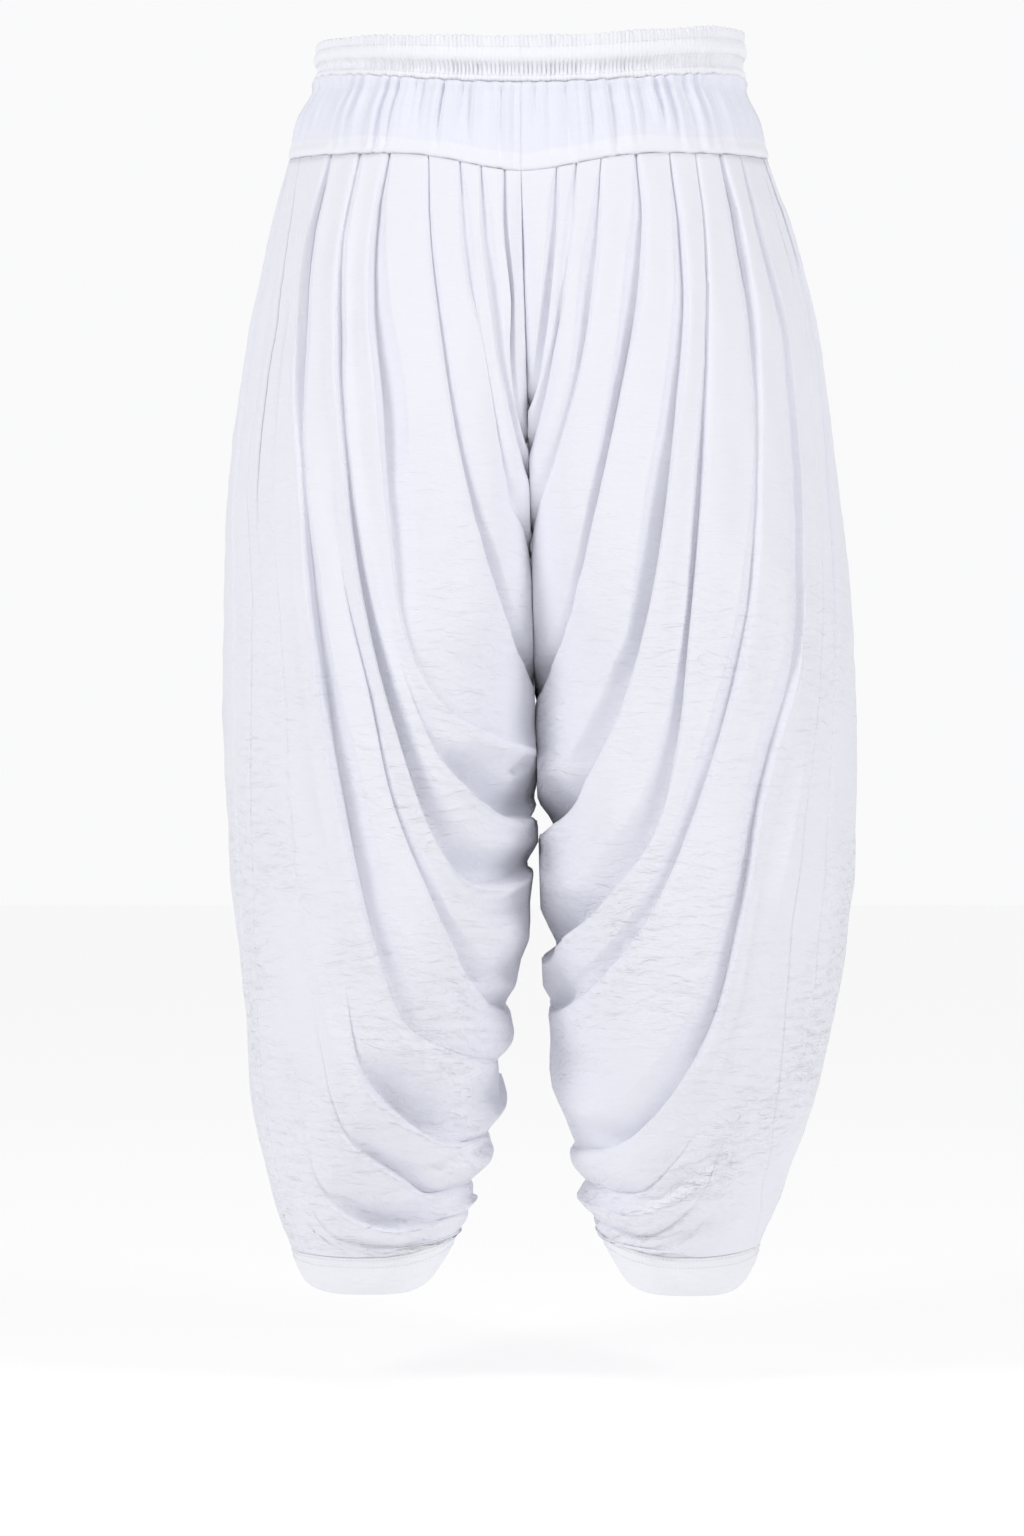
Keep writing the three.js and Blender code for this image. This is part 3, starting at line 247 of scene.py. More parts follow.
# %% The folds
FOLDS = {"left": (  # each row: name, then stations of x, z, valley, depth
    ("centre seam", ((-1, -99, 2, 0), (-1, -119, 3, 0), (-1, -148, 4, 0), (0, -184, 4, 0))),
    ("seat pleat 1", ((-22, -94, 1, 4), (-21, -138, 3, 7), (-16, -193, 5, 10), (-16, -229, 9, 10),
     (-13, -265, 9, 8), (-3, -300, 6, 5))),
    ("seat pleat 2", ((-39, -90, 1, 4), (-37, -135, 4, 6), (-31, -186, 6, 7), (-25, -233, 5, 8),
     (-16, -272, 7, 9), (-9, -300, 8, 10), (-1, -335, 6, 8))),
    ("seat pleat 3", ((-54, -88, 1, 3), (-52, -131, 4, 5), (-45, -182, 4, 4), (-34, -226, 1, 1),
     (-25, -280, 2, 2), (-16, -337, 6, 5), (-7, -356, 9, 10), (5, -396, 8, 8))),
    ("thigh pleat 1", ((-77, -85, 1, 3), (-76, -138, 2, 4), (-68, -201, 3, 5), (-57, -273, 5, 6),
     (-44, -337, 8, 8), (-31, -394, 16, 13), (-15, -444, 22, 15), (7, -488, 20, 10))),
    ("thigh pleat 2", ((-106, -84, 2, 4), (-116, -136, 5, 8), (-117, -200, 8, 11), (-110, -265, 12, 12),
     (-102, -352, 18, 8), (-91, -431, 20, 5), (-65, -484, 22, 6), (-22, -511, 16, 6),
     (11, -518, 10, 5))),
    ("tuck", ((-117, -82, 0, 0), (-127, -136, 0, 0), (-128, -199, 0, 0), (-123, -280, 0, 0),
     (-114, -373, 0, 0), (-97, -445, 0, 0), (-72, -511, 12, 5), (-49, -545, 20, 13),
     (-22, -564, 20, 12), (11, -567, 14, 8))),
    ("thigh pleat 3", ((-127, -78, 2, 4), (-138, -142, 5, 8), (-141, -209, 5, 9), (-136, -290, 3, 7),
     (-128, -366, 7, 9), (-113, -445, 12, 13), (-93, -517, 16, 15), (-71, -580, 18, 15),
     (-49, -610, 20, 14), (-19, -614, 18, 12), (9, -598, 12, 8))),
    ("thigh pleat 4", ((-139, -78, 0, 0), (-148, -145, 0, 0), (-151, -220, 0, 0), (-144, -315, 0, 0),
     (-133, -402, 1, 1), (-115, -481, 5, 4), (-100, -552, 8, 5), (-72, -624, 10, 7), (-51, -670, 10, 9),
     (-35, -695, 14, 10), (-8, -717, 8, 6))),
    ("calf pleat 1", ((-149, -82, 2, 4), (-166, -151, 7, 9), (-170, -226, 7, 9), (-166, -315, 2, 6),
     (-159, -409, 8, 10), (-145, -509, 12, 14), (-130, -588, 16, 14), (-112, -660, 20, 11),
     (-91, -715, 22, 8), (-58, -736, 16, 6), (-22, -748, 8, 5))),
    ("swag", ((-158, -81, 0, 0), (-170, -150, 0, 0), (-176, -225, 0, 0), (-177, -285, 0, 0),
     (-174, -380, 0, 0), (-164, -481, 0, 0), (-148, -588, 0, 0), (-134, -682, 0, 0),
     (-125, -743, 10, 6), (-109, -769, 22, 13), (-80, -793, 22, 13), (-55, -806, 16, 10),
     (-19, -799, 10, 6))),
    ("calf pleat 2", ((-163, -81, 1, 3), (-174, -150, 2, 4), (-182, -225, 2, 3), (-187, -321, 0, 1),
     (-182, -408, 0, 1), (-172, -553, 0, 1), (-165, -646, 1, 1), (-152, -733, 1, 1), (-134, -797, 3, 3),
     (-96, -827, 12, 8), (-66, -844, 14, 9), (-30, -837, 8, 5))),
    ("low ridge", ((-166, -80, 0, 0), (-177, -149, 0, 0), (-185, -224, 0, 0), (-191, -320, 0, 0),
     (-188, -408, 0, 0), (-184, -517, 0, 0), (-179, -625, 0, 0), (-172, -749, 0, 0), (-157, -829, 4, 2),
     (-132, -859, 14, 8), (-99, -869, 16, 9), (-66, -864, 12, 7), (-37, -858, 6, 4))),
    ("hem corner", ((-169, -80, 0, 0), (-179, -149, 0, 0), (-187, -224, 0, 0), (-195, -320, 0, 0),
     (-192, -408, 0, 0), (-190, -516, 0, 0), (-186, -625, 0, 0), (-180, -749, 0, 0), (-166, -836, 0, 0),
     (-144, -875, 3, 2), (-110, -882, 5, 3), (-74, -879, 4, 3), (-34, -870, 3, 2))),
    ("hem middle", ((-171, -79, 2, 4), (-181, -148, 4, 6), (-190, -224, 6, 6), (-199, -320, 6, 4),
     (-196, -408, 0, 0), (-196, -516, 0, 0), (-193, -625, 0, 0), (-187, -750, 0, 0), (-173, -839, 0, 0),
     (-156, -873, 0, 0), (-128, -888, 0, 0))),
    ("side seam", ((-174, -79, 0, 1.5), (-187, -147, 0, 1.5), (-198, -222, 0, 1.5),
     (-207, -319, 0, 1.5), (-202, -407, 0, 1.5), (-203, -524, 0, 1.5), (-202, -626, 0, 1.5),
     (-197, -743, 0, 1.5), (-186, -825, 0, 1.5), (-170, -881, 0, 1))),
    ("side fold", ((-179, -76, 1, 3), (-193, -145, 3, 5), (-208, -220, 4, 6), (-217, -317, 3, 4),
     (-217, -406, 1, 2), (-217, -524, 1, 2), (-212, -626, 1, 3), (-204, -745, 1, 2), (-193, -819, 1, 1),
     (-177, -886, 0, 0))),
), "right": (
    ("centre seam", ((-19, -99, 2, 0), (-19, -116, 3, 0), (-19, -137, 4, 0), (-19, -163, 4, 0))),
    ("seat pleat 1", ((22, -92, 1, 4), (21, -127, 4, 6), (17, -171, 6, 8), (12, -218, 9, 9),
     (5, -254, 8, 7), (-5, -281, 6, 5))),
    ("seat pleat 2", ((36, -91, 1, 4), (32, -135, 3, 4), (25, -186, 5, 5), (16, -233, 3, 7),
     (7, -275, 6, 9), (-5, -325, 8, 8))),
    ("seat pleat 3", ((54, -86, 1, 3), (51, -138, 4, 5), (45, -193, 8, 8), (34, -251, 5, 7),
     (20, -301, 6, 7), (7, -342, 8, 8), (-6, -379, 8, 7))),
    ("thigh pleat 1", ((80, -86, 2, 4), (84, -130, 5, 7), (79, -193, 9, 10), (64, -266, 9, 10),
     (49, -337, 13, 10), (33, -409, 14, 8), (18, -458, 18, 11), (-3, -495, 18, 10))),
    ("thigh pleat 2", ((104, -83, 1, 3), (111, -140, 4, 6), (113, -200, 6, 8), (106, -273, 8, 10),
     (98, -341, 13, 14), (87, -409, 15, 15), (69, -481, 14, 14), (43, -544, 18, 16), (23, -573, 26, 15),
     (-6, -582, 18, 9))),
    ("thigh pleat 3", ((123, -80, 1, 3), (129, -147, 1, 4), (128, -228, 2, 4), (123, -337, 6, 9),
     (114, -431, 6, 8), (105, -517, 10, 11), (89, -578, 15, 13), (61, -619, 18, 14), (32, -652, 22, 13),
     (0, -670, 14, 8))),
    ("thigh pleat 4", ((142, -77, 2, 4), (155, -133, 6, 8), (164, -204, 5, 7), (165, -300, 2, 4),
     (159, -409, 6, 6), (141, -492, 8, 7), (115, -571, 9, 8), (86, -636, 10, 8), (54, -680, 9, 10),
     (30, -704, 12, 9), (6, -712, 8, 6))),
    ("calf pleat 1", ((157, -77, 2, 3), (174, -150, 4, 6), (189, -224, 6, 6), (196, -335, 8, 7),
     (192, -444, 15, 7), (167, -549, 15, 9), (153, -628, 14, 11), (133, -711, 15, 12),
     (99, -772, 18, 13), (64, -805, 18, 13), (22, -816, 12, 8))),
    ("swag", ((162, -76, 0, 0), (180, -149, 0, 0), (195, -223, 0, 0), (200, -335, 0, 0),
     (196, -444, 0, 0), (179, -549, 0, 0), (163, -631, 0, 0), (147, -718, 0, 0), (123, -788, 0, 0),
     (87, -837, 8, 5), (57, -844, 12, 7), (31, -837, 8, 5))),
    ("low ridge", ((164, -76, 0, 0), (184, -148, 0, 0), (198, -223, 0, 0), (204, -335, 0, 0),
     (200, -444, 0, 0), (185, -553, 0, 0), (171, -639, 0, 0), (160, -718, 0, 0), (143, -792, 0, 0),
     (121, -848, 2, 2), (88, -876, 8, 5), (60, -872, 8, 5), (34, -861, 5, 4))),
    ("hem corner", ((167, -75, 0, 0), (187, -147, 0, 0), (201, -222, 0, 0), (207, -334, 0, 0),
     (203, -444, 0, 0), (190, -553, 0, 0), (176, -635, 0, 0), (168, -719, 0, 0), (156, -792, 0, 0),
     (136, -852, 0, 0), (103, -884, 2, 2), (70, -882, 3, 2), (37, -874, 2, 2))),
    ("hem middle", ((169, -75, 2, 4), (190, -147, 4, 5), (204, -222, 5, 5), (210, -334, 4, 3),
     (207, -444, 0, 0), (194, -553, 0, 0), (182, -635, 0, 0), (176, -715, 0, 0), (169, -785, 0, 0),
     (156, -850, 0, 0), (125, -890, 0, 0))),
    ("side seam", ((171, -73, 0, 1.5), (193, -146, 0, 1.5), (206, -221, 0, 1.5), (213, -334, 0, 1.5),
     (210, -444, 0, 1.5), (199, -553, 0, 1.5), (188, -635, 0, 1.5), (184, -712, 0, 1.5),
     (179, -782, 0, 1.5), (167, -879, 0, 1))),
    ("side fold", ((174, -72, 1, 3), (196, -144, 3, 5), (212, -219, 4, 6), (221, -333, 4, 5),
     (222, -443, 1, 3), (218, -549, 1, 2), (213, -633, 1, 3), (206, -710, 1, 2), (195, -780, 1, 1),
     (171, -884, 0, 0))),
)}
print("folds:", {leg: len(rows) for leg, rows in FOLDS.items()})

# %% [markdown]
# The front doesn't show, so it takes the same rows with a small sway, drop and change of depth. A
# `Fold` turns a row into smooth curves over t, from 0 at the belt to 1 at its end. The rows that end
# on the hem share one rhythm of steps, or their grid lines would cross near the ankle. Steps along a
# fold are measured on a half leg `HALF_ROUND` mm round.

# %% One fold as a curve
HALF_ROUND = 380
ON_HEM = ("hem corner", "hem middle", "side seam", "side fold", "outer side")
OPEN_ENDS = ON_HEM[1:]
OUTER_SIDE = ("outer side", ((0, -74, 0, 0), (0, -300, 0, 0), (0, -600, 0, 0), (0, -888, 0, 0)))
FRONT_SWAY = 0.02
FRONT_DROP = 12
FRONT_DEPTH = 0.85


class Fold:
    """One row of the table on the back or on the front: its path, valley and depth, all over t."""

    def __init__(self, leg, face, index, t):
        rows = FOLDS[leg] + (OUTER_SIDE,)
        self.name, stations = rows[index]
        x, z, valley, depth = np.array(stations, float).T
        skin = SKIN[leg, "back"]
        top = 1.0 if self.name == "centre seam" else skin.share_at(x[:1], z[:1])[0]
        z[0] = belt_edge(top) - EDGE_GAP
        stops = np.concatenate([[0], np.cumsum(np.hypot(np.diff(x), np.diff(z)))])
        s = np.linspace(0, stops[-1], 160)
        z, valley, depth = (through(stops, v, s) for v in (z, valley, depth))
        w = skin.share_at(through(stops, x, s), z)
        if self.name in ("centre seam", "outer side"):
            w = np.full(len(w), top if self.name == "centre seam" else 0.0)
        elif self.name not in OPEN_ENDS:
            end = np.flatnonzero(w > 0.995)[0] + 1 if (w > 0.995).any() else len(w)
            w, z, valley, depth = w[:end], z[:end], valley[:end], depth[:end]
            w[-1] = 1
        if self.name in ON_HEM:
            z[-1] = hem_edge(leg, w[-1]) + EDGE_GAP
        front = 1 if face == "front" else 0
        z += front * FRONT_DROP * np.sin(3 * math.pi * w) * np.sin(math.pi * np.linspace(0, 1, len(w)))
        w = w + front * FRONT_SWAY * np.sin(2 * math.pi * w)
        stops = np.concatenate([[0], np.cumsum(np.hypot(np.diff(w) * HALF_ROUND, np.diff(z)))])
        if self.name in OPEN_ENDS:
            corner = Fold(leg, face, [name for name, _ in rows].index("hem corner"), t)
            drop = np.maximum.accumulate(corner.z[0] - corner.z)
            t = 0.97 * drop / drop[-1] + 0.03 * t
        s = t * stops[-1]
        self.w, self.z = np.interp(s, stops, w), np.interp(s, stops, z)
        change = 1 - FRONT_DEPTH * (1 + 0.2 * math.sin(1.7 * index))
        other = front * (1 - ease((t - 0.8) / 0.2)) * change
        self.depth = np.maximum(0, np.interp(s, stops, depth)) * (1 - other)
        self.valley = np.maximum(0, np.interp(s, stops, valley))
        self.overlap = (2.5 if depth[0] > 2 else 0) * (1 - ease(t / 0.3))


# %% [markdown]
# ## The drape between two folds
#
# Across the cloth from one fold to the next, the lip rises within a few millimetres and the cloth
# lies as a broad panel that sinks slowly. Then it turns over a ridge and drops down the wall of the
# valley, under the next lip. The lip also leans back over its valley, which gives the crisp edge of
# a real pleat. The lines of the grid crowd together where the cloth bends most.

# %% The drape between two folds
LIP = 4.0
NEAR = np.array([0.0, 1.2, 2.6, 4.4, 7.2, 12.0])
WALL = np.array([1.35, 1.15, 1.03, 0.97, 0.88, 0.74, 0.56, 0.38, 0.2, 0.1, 0.04])


def hollow_width(span, outer):
    return np.clip(1.3 * outer.valley + 0.45 * outer.depth + 1.5, 1.5, 0.58 * span)


def strip_lines(span, hollow, between):
    """Distances from the inner fold, in mm, for each line of the grid and each step down."""
    near = NEAR[:, None] * np.minimum(1, 0.4 * (span - hollow) / NEAR[-1])
    wall = span - hollow * WALL[:, None]
    gap = np.linspace(0, 1, between + 2)[1:-1, None]
    body = near[-1] + (wall[0] - near[-1]) * gap
    return np.concatenate([near, body, wall])


def drape(s, span, hollow, inner, outer, end):
    """Height of the cloth and its slip sideways between two folds; end is 1 at the inseam."""
    room = np.clip((span - 3) / 14, 0, 1)
    lip = np.minimum(LIP, span * 0.3)
    edge = span - hollow
    y = ease(s / edge)
    calm = 1 - 0.75 * end
    panel = (0.5 * inner.depth * (1 - y) + 0.15 * outer.depth * y) * calm
    height = panel * np.sin(np.clip(s / lip, 0, 1) * math.pi / 2)
    down = np.clip((s - edge) / np.maximum(hollow - 1.2, 0.5), 0, 1)
    soft = np.maximum(ease((0.9 - outer.depth / np.maximum(outer.valley, 1)) / 0.4), end)
    fall = (1 - soft) * (1 - (1 - down) ** 2.6) + soft * ease(down)
    drop = np.minimum(outer.depth, 0.64 * hollow)
    height = height - 0.9 * drop * calm * fall
    back = span - s
    height = height + 0.75 * drop * calm * (1 - ease(back / (2.2 + 2.4 * end)))
    roll = np.clip(np.sin(math.pi * np.clip(s / span, 0, 1)), 0, 1) ** 0.8 - 0.3
    height = height + end * np.clip(0.24 * span, 0, 9) * roll
    tight = np.clip(span / 26, 0.25, 1)
    slip = -0.25 * inner.depth * calm * np.exp(-((s - 4.5 * tight) / (6 * tight)) ** 2)
    slip -= inner.overlap * np.exp(-((s - 2) / 4) ** 2)
    tucked = (back / (4 * tight)) ** 2
    under = 0.12 * tucked * np.exp(1 - tucked) - 0.14 * np.exp(-(back / (2.5 * tight)) ** 2)
    slip += drop * calm * under
    slip -= outer.overlap * 0.78 * np.exp(-(back / 2.5) ** 2)
    return height * room, slip * room


# %% [markdown]
# ## Smaller creases
#
# Where a swag is pulled tight, or is caught up near the inseam, the cloth makes pockets, rolls and
# short tucks between the big folds. Each row of the table is one of them: the height of its ridge and
# how wide that is, the depth of the hollow above the ridge and how far up it lies, and the line of
# the ridge as seen from behind (x, z), with its strength at each point.

# %% Smaller creases
CREASES = {"left": (  # name, ridge, its width, hollow, its width, stations of x, z, strength
    ("pocket lip", 3.5, 5, 11, 9, ((-65, -518, 0), (-60, -530, 0.7), (-49, -545, 1), (-35, -558, 1),
     (-19, -567, 1), (-6, -566, 0.9), (4, -557, 0.8))),
    ("pocket roof", 4, 9, 0, 9, ((-72, -506, 0), (-49, -510, 0.7), (-26, -515, 1), (-8, -515, 1),
     (4, -510, 0.9))),
    ("inner dimple", 0, 5, 6, 5, ((-20, -530, 0), (-13, -535, 1), (-5, -530, 1), (-2, -522, 0))),
    ("swag ridge", 5, 11, 0, 9, ((-95, -381, 0), (-86, -431, 0.6), (-71, -474, 1), (-47, -496, 1),
     (-22, -511, 1), (-2, -515, 0.7))),
    ("upper swag lip", 3, 6, 8, 8, ((-68, -588, 0), (-59, -604, 0.8), (-44, -615, 1), (-26, -617, 1),
     (-11, -611, 1), (0, -604, 0.8))),
    ("upper swag shelf", -4, 7, 0, 9, ((-62, -594, 0), (-45, -596, 1), (-26, -595, 0.8),
     (-14, -586, 0))),
    ("mound", 7, 13, 0, 9, ((-50, -651, 0), (-38, -644, 1), (-25, -649, 1), (-16, -657, 0.6))),
    ("over the mound", -6, 7, 0, 9, ((-50, -643, 0), (-38, -633, 1), (-22, -630, 1),
     (-11, -625, 0.8))),
    ("under the mound", -6, 7, 0, 9, ((-54, -661, 0), (-44, -674, 0.8), (-30, -683, 1), (-16, -675, 1),
     (-12, -668, 0.6))),
    ("knee hollow", -5, 8, 0, 9, ((-60, -690, 0), (-44, -698, 0.8), (-28, -704, 1), (-19, -701, 0.8))),
    ("lower pocket lip", 4, 7, 12, 13, ((-127, -741, 0), (-121, -758, 0.7), (-103, -779, 1),
     (-80, -797, 1), (-59, -806, 1), (-41, -797, 1), (-28, -782, 0.8))),
    ("lower pocket roof", 4.5, 12, 0, 9, ((-94, -729, 0), (-73, -746, 0.8), (-55, -758, 1),
     (-40, -750, 0.9), (-30, -742, 0.6))),
    ("lower dark line", -4.5, 5, 0, 9, ((-101, -808, 0), (-84, -818, 0.8), (-66, -818, 1),
     (-48, -810, 1), (-30, -808, 0.8))),
    ("long tuck", 2.5, 4, 6, 5, ((-134, -797, 0), (-120, -811, 0.7), (-96, -830, 1), (-78, -842, 0.8),
     (-66, -846, 0))),
    ("ankle pocket lip", 4, 8, 11, 10, ((-152, -837, 0), (-132, -856, 0.7), (-107, -869, 1),
     (-81, -867, 1), (-59, -858, 1), (-48, -852, 0.7))),
    ("above the cuff", -4, 6, 0, 9, ((-172, -876, 0), (-151, -879, 0.8), (-125, -877, 1),
     (-99, -883, 0.6), (-78, -877, 1), (-58, -868, 0.8))),
    ("thin line", 1.8, 4, 0, 9, ((-175, -481, 0), (-172, -553, 1), (-165, -624, 1), (-152, -697, 1),
     (-130, -755, 1), (-112, -801, 0))),
    ("outer zone", -4, 14, 0, 9, ((-179, -567, 0), (-177, -625, 1), (-176, -697, 1), (-170, -763, 0.8),
     (-161, -815, 0))),
    ("knee crease 1", 1.4, 5, 0, 9, ((-65, -338, 0), (-44, -359, 1), (-19, -371, 0))),
    ("knee crease 2", 1.4, 6, 0, 9, ((-61, -409, 0), (-38, -425, 1), (-14, -431, 0))),
    ("knee crease 3", -1.5, 7, 0, 9, ((-71, -438, 0), (-44, -458, 1), (-11, -473, 0))),
    ("calf crease 1", 1.5, 8, 0, 9, ((-133, -624, 0), (-114, -671, 1), (-87, -711, 0))),
    ("calf crease 2", -1.6, 8, 0, 9, ((-104, -581, 0), (-94, -624, 1), (-72, -668, 0))),
), "right": (
    ("dark pocket", 3, 6, 12, 8, ((7, -580, 0.9), (19, -576, 1), (30, -567, 1), (39, -555, 0.7),
     (46, -542, 0))),
    ("pocket roof", 4, 8, 0, 9, ((6, -522, 0.8), (19, -530, 1), (32, -535, 1), (39, -541, 0))),
    ("pocket post", 5, 5, 0, 9, ((26, -537, 0), (26, -549, 1), (30, -561, 0))),
    ("second lip", 3, 6, 10, 10, ((7, -675, 0.9), (19, -668, 1), (32, -652, 1), (44, -636, 0.6),
     (51, -625, 0))),
    ("second roof", 3.5, 9, 0, 9, ((11, -602, 0.7), (23, -611, 1), (36, -619, 0.8), (42, -629, 0))),
    ("third lip", 2, 6, 7, 9, ((15, -712, 0.8), (26, -702, 1), (37, -688, 0.7), (47, -674, 0))),
    ("lower swag", -4.5, 9, 0, 9, ((23, -733, 0.8), (40, -746, 1), (61, -757, 0.8), (83, -765, 0))),
    ("lower swag 2", 3.5, 10, 0, 9, ((27, -768, 0.8), (44, -777, 0.8), (69, -779, 0.8),
     (97, -766, 0))),
    ("calf swag", -4.5, 9, 0, 9, ((31, -792, 0.8), (51, -798, 1), (83, -793, 0.8), (115, -769, 0))),
    ("low lip", 3.5, 8, 8, 10, ((41, -850, 0.7), (62, -856, 1), (87, -854, 1), (116, -837, 0.8),
     (148, -807, 0))),
    ("bright ridge", 4, 9, 0, 9, ((69, -827, 0), (91, -828, 1), (116, -819, 1), (141, -801, 0))),
    ("ankle hollow", -5, 8, 0, 9, ((46, -865, 0.8), (66, -875, 1), (95, -876, 1), (128, -865, 0.8),
     (164, -839, 0))),
    ("long diagonal", -2.5, 9, 0, 9, ((86, -879, 0), (124, -864, 0.8), (161, -842, 1),
     (196, -812, 0))),
    ("thin line", 1.8, 4, 0, 9, ((200, -480, 0), (195, -531, 1), (187, -581, 1), (171, -653, 0))),
    ("outer swell", 3, 16, 0, 9, ((191, -379, 0), (194, -480, 1), (187, -596, 1), (172, -690, 0))),
    ("thigh crease 1", 1.5, 6, 0, 9, ((15, -369, 0), (32, -391, 1), (43, -423, 0))),
    ("thigh crease 2", -1.6, 8, 0, 9, ((13, -480, 0), (32, -473, 1), (54, -458, 0))),
    ("panel crease 1", 1.6, 7, 0, 9, ((78, -646, 0), (101, -624, 1), (117, -592, 0))),
    ("panel crease 2", -1.8, 9, 0, 9, ((50, -705, 0), (86, -700, 1), (114, -682, 0))),
    ("hem crease 1", -3, 6, 0, 9, ((134, -868, 0), (118, -858, 1), (92, -862, 0.8), (72, -866, 0))),
    ("hem crease 2", 2.5, 6, 0, 9, ((150, -842, 0), (126, -838, 1), (96, -846, 0.8), (70, -852, 0))),
    ("hem crease 3", -2.5, 7, 0, 9, ((166, -800, 0), (146, -812, 1), (120, -820, 0))),
    ("panel crease 3", 1.8, 9, 0, 9, ((79, -762, 0), (115, -747, 1), (147, -718, 0))),
)}
print("creases:", {leg: len(rows) for leg, rows in CREASES.items()})

# %% [markdown]
# A point of the cloth takes its height from the nearest point of each crease line: a bell for the
# ridge, and a dip on its upper side for the hollow. Noise with a fixed pattern adds the soft
# unevenness that all worn cloth has.

# %% Height of the creases
def crease_height(leg, points, inner):
    """Ridges, each with its hollow above it; the front has them too, shifted away from the inseam."""
    x, z = points[:, 0], points[:, 2]
    shift = np.where(points[:, 1] > 0, 1 - inner, 0)
    z = z + shift * 16 * np.sin(z / 50 + 1)
    x = x + shift * 9 * np.sin(z / 70)
    total = np.zeros_like(x)
    for name, ridge, ridge_width, hollow, hollow_width, path in CREASES[leg]:
        line_x, line_z, strength = np.array(path, float).T
        stops = np.concatenate([[0], np.cumsum(np.hypot(np.diff(line_x), np.diff(line_z)))])
        t = np.linspace(0, stops[-1], 60)
        line_x, line_z, strength = (through(stops, v, t) for v in (line_x, line_z, strength))
        reach = 3 * max(ridge_width, 2 * hollow_width if hollow else 0)
        near = np.flatnonzero((x > line_x.min() - reach) & (x < line_x.max() + reach)
                              & (z > line_z.min() - reach) & (z < line_z.max() + reach))
        away_x, away_z = x[near, None] - line_x, z[near, None] - line_z
        far = np.hypot(away_x, away_z)
        nearest = far.argmin(1)
        pick = np.arange(len(near))
        along_x, along_z = np.gradient(line_x)[nearest], np.gradient(line_z)[nearest]
        side = along_x * away_z[pick, nearest] - along_z * away_x[pick, nearest]
        above = side if line_x[-1] > line_x[0] else -side
        distance = far[pick, nearest]
        lift = ridge * np.exp(-(distance / ridge_width) ** 2)
        up = distance / hollow_width * (above > 0)
        lift -= hollow * up * np.exp(1 - up) * (1 - ease((up - 2) / 2))
        total[near] += lift * np.clip(strength[nearest], 0, 1) * (1.2 - 0.6 * inner[near])
    return total


def ripple(points, shift):
    """A soft unevenness everywhere, longer down the cloth than across it, with a fixed pattern."""
    out = np.empty(len(points))
    for k, (x, y, z) in enumerate(points):
        slow = noise.noise(Vector((x / 46, y / 46 + shift, z / 120)))
        quick = noise.noise(Vector((x / 15 + 7, y / 15 + shift, z / 42)))
        cross = noise.noise(Vector((x / 60, y / 60 + shift + 4, z / 11)))
        out[k] = 2.6 * slow + 1.1 * quick + 0.6 * cross
    return out


# %% [markdown]
# ## Cloth from a grid
#
# Every sheet of cloth is made the same way. A grid of points becomes faces with a UV map in metres,
# so that the weave keeps its size, and then the sheet is given its thickness inwards.

# %% Cloth from a grid
def new_object(name, points, uv, corners, flip):
    """A mesh from points and UV in mm, and from the numbers of each face's four corners."""
    faces = np.stack(corners, -1).reshape(-1, 4)
    if flip:
        faces = faces[:, ::-1]
    mesh = bpy.data.meshes.new(name)
    mesh.from_pydata((points.reshape(-1, 3) * MM).tolist(), [], faces.tolist())
    layer = mesh.uv_layers.new(name="cloth")
    index = np.empty(len(mesh.loops), int)
    mesh.loops.foreach_get("vertex_index", index)
    layer.data.foreach_set("uv", (uv.reshape(-1, 2) * MM)[index].ravel())
    mesh.validate()
    mesh.polygons.foreach_set("use_smooth", [True] * len(mesh.polygons))
    piece = bpy.data.objects.new(name, mesh)
    bpy.context.scene.collection.objects.link(piece)
    return piece


def apply_modifiers(piece):
    evaluated = piece.evaluated_get(bpy.context.evaluated_depsgraph_get())
    mesh = bpy.data.meshes.new_from_object(evaluated)
    piece.modifiers.clear()
    piece.data = mesh
    mesh.polygons.foreach_set("use_smooth", [True] * len(mesh.polygons))


def sheet_of(name, points, uv, thickness, flip):
    """A sheet from a grid of points in mm, across by down, thickened inwards."""
    across, down = points.shape[:2]
    index = np.arange(across * down).reshape(across, down)
    corners = index[:-1, :-1], index[:-1, 1:], index[1:, 1:], index[1:, :-1]
    piece = new_object(name, points, uv, corners, flip)
    solidify = piece.modifiers.new("thickness", "SOLIDIFY")
    solidify.thickness = thickness * MM
    solidify.offset = -1
    solidify.use_even_offset = False
    apply_modifiers(piece)
    print(name, "faces:", len(piece.data.polygons))
    return piece


def ring_of(name, points, uv, flip=False):
    """A doubled strip from rings of points in mm; the last ring joins the first."""
    rows, count = points.shape[:2]
    index = np.arange(rows * count).reshape(rows, count)
    right = np.roll(index, -1, 1)
    corners = index, right, np.roll(right, -1, 0), np.roll(index, -1, 0)
    print(name, "faces:", index.size)
    return new_object(name, points, uv, corners, flip)


# %% [markdown]
# ## The gores and the side panels
#
# A gore is the strips between its folds, side by side, placed on the form with their own height and
# with the creases added. The side panel has no seam down the outside of the leg, so its back and
# front grids are joined there.

# %% The gores and the side panels
STEPS = 130
THIN = 0.9


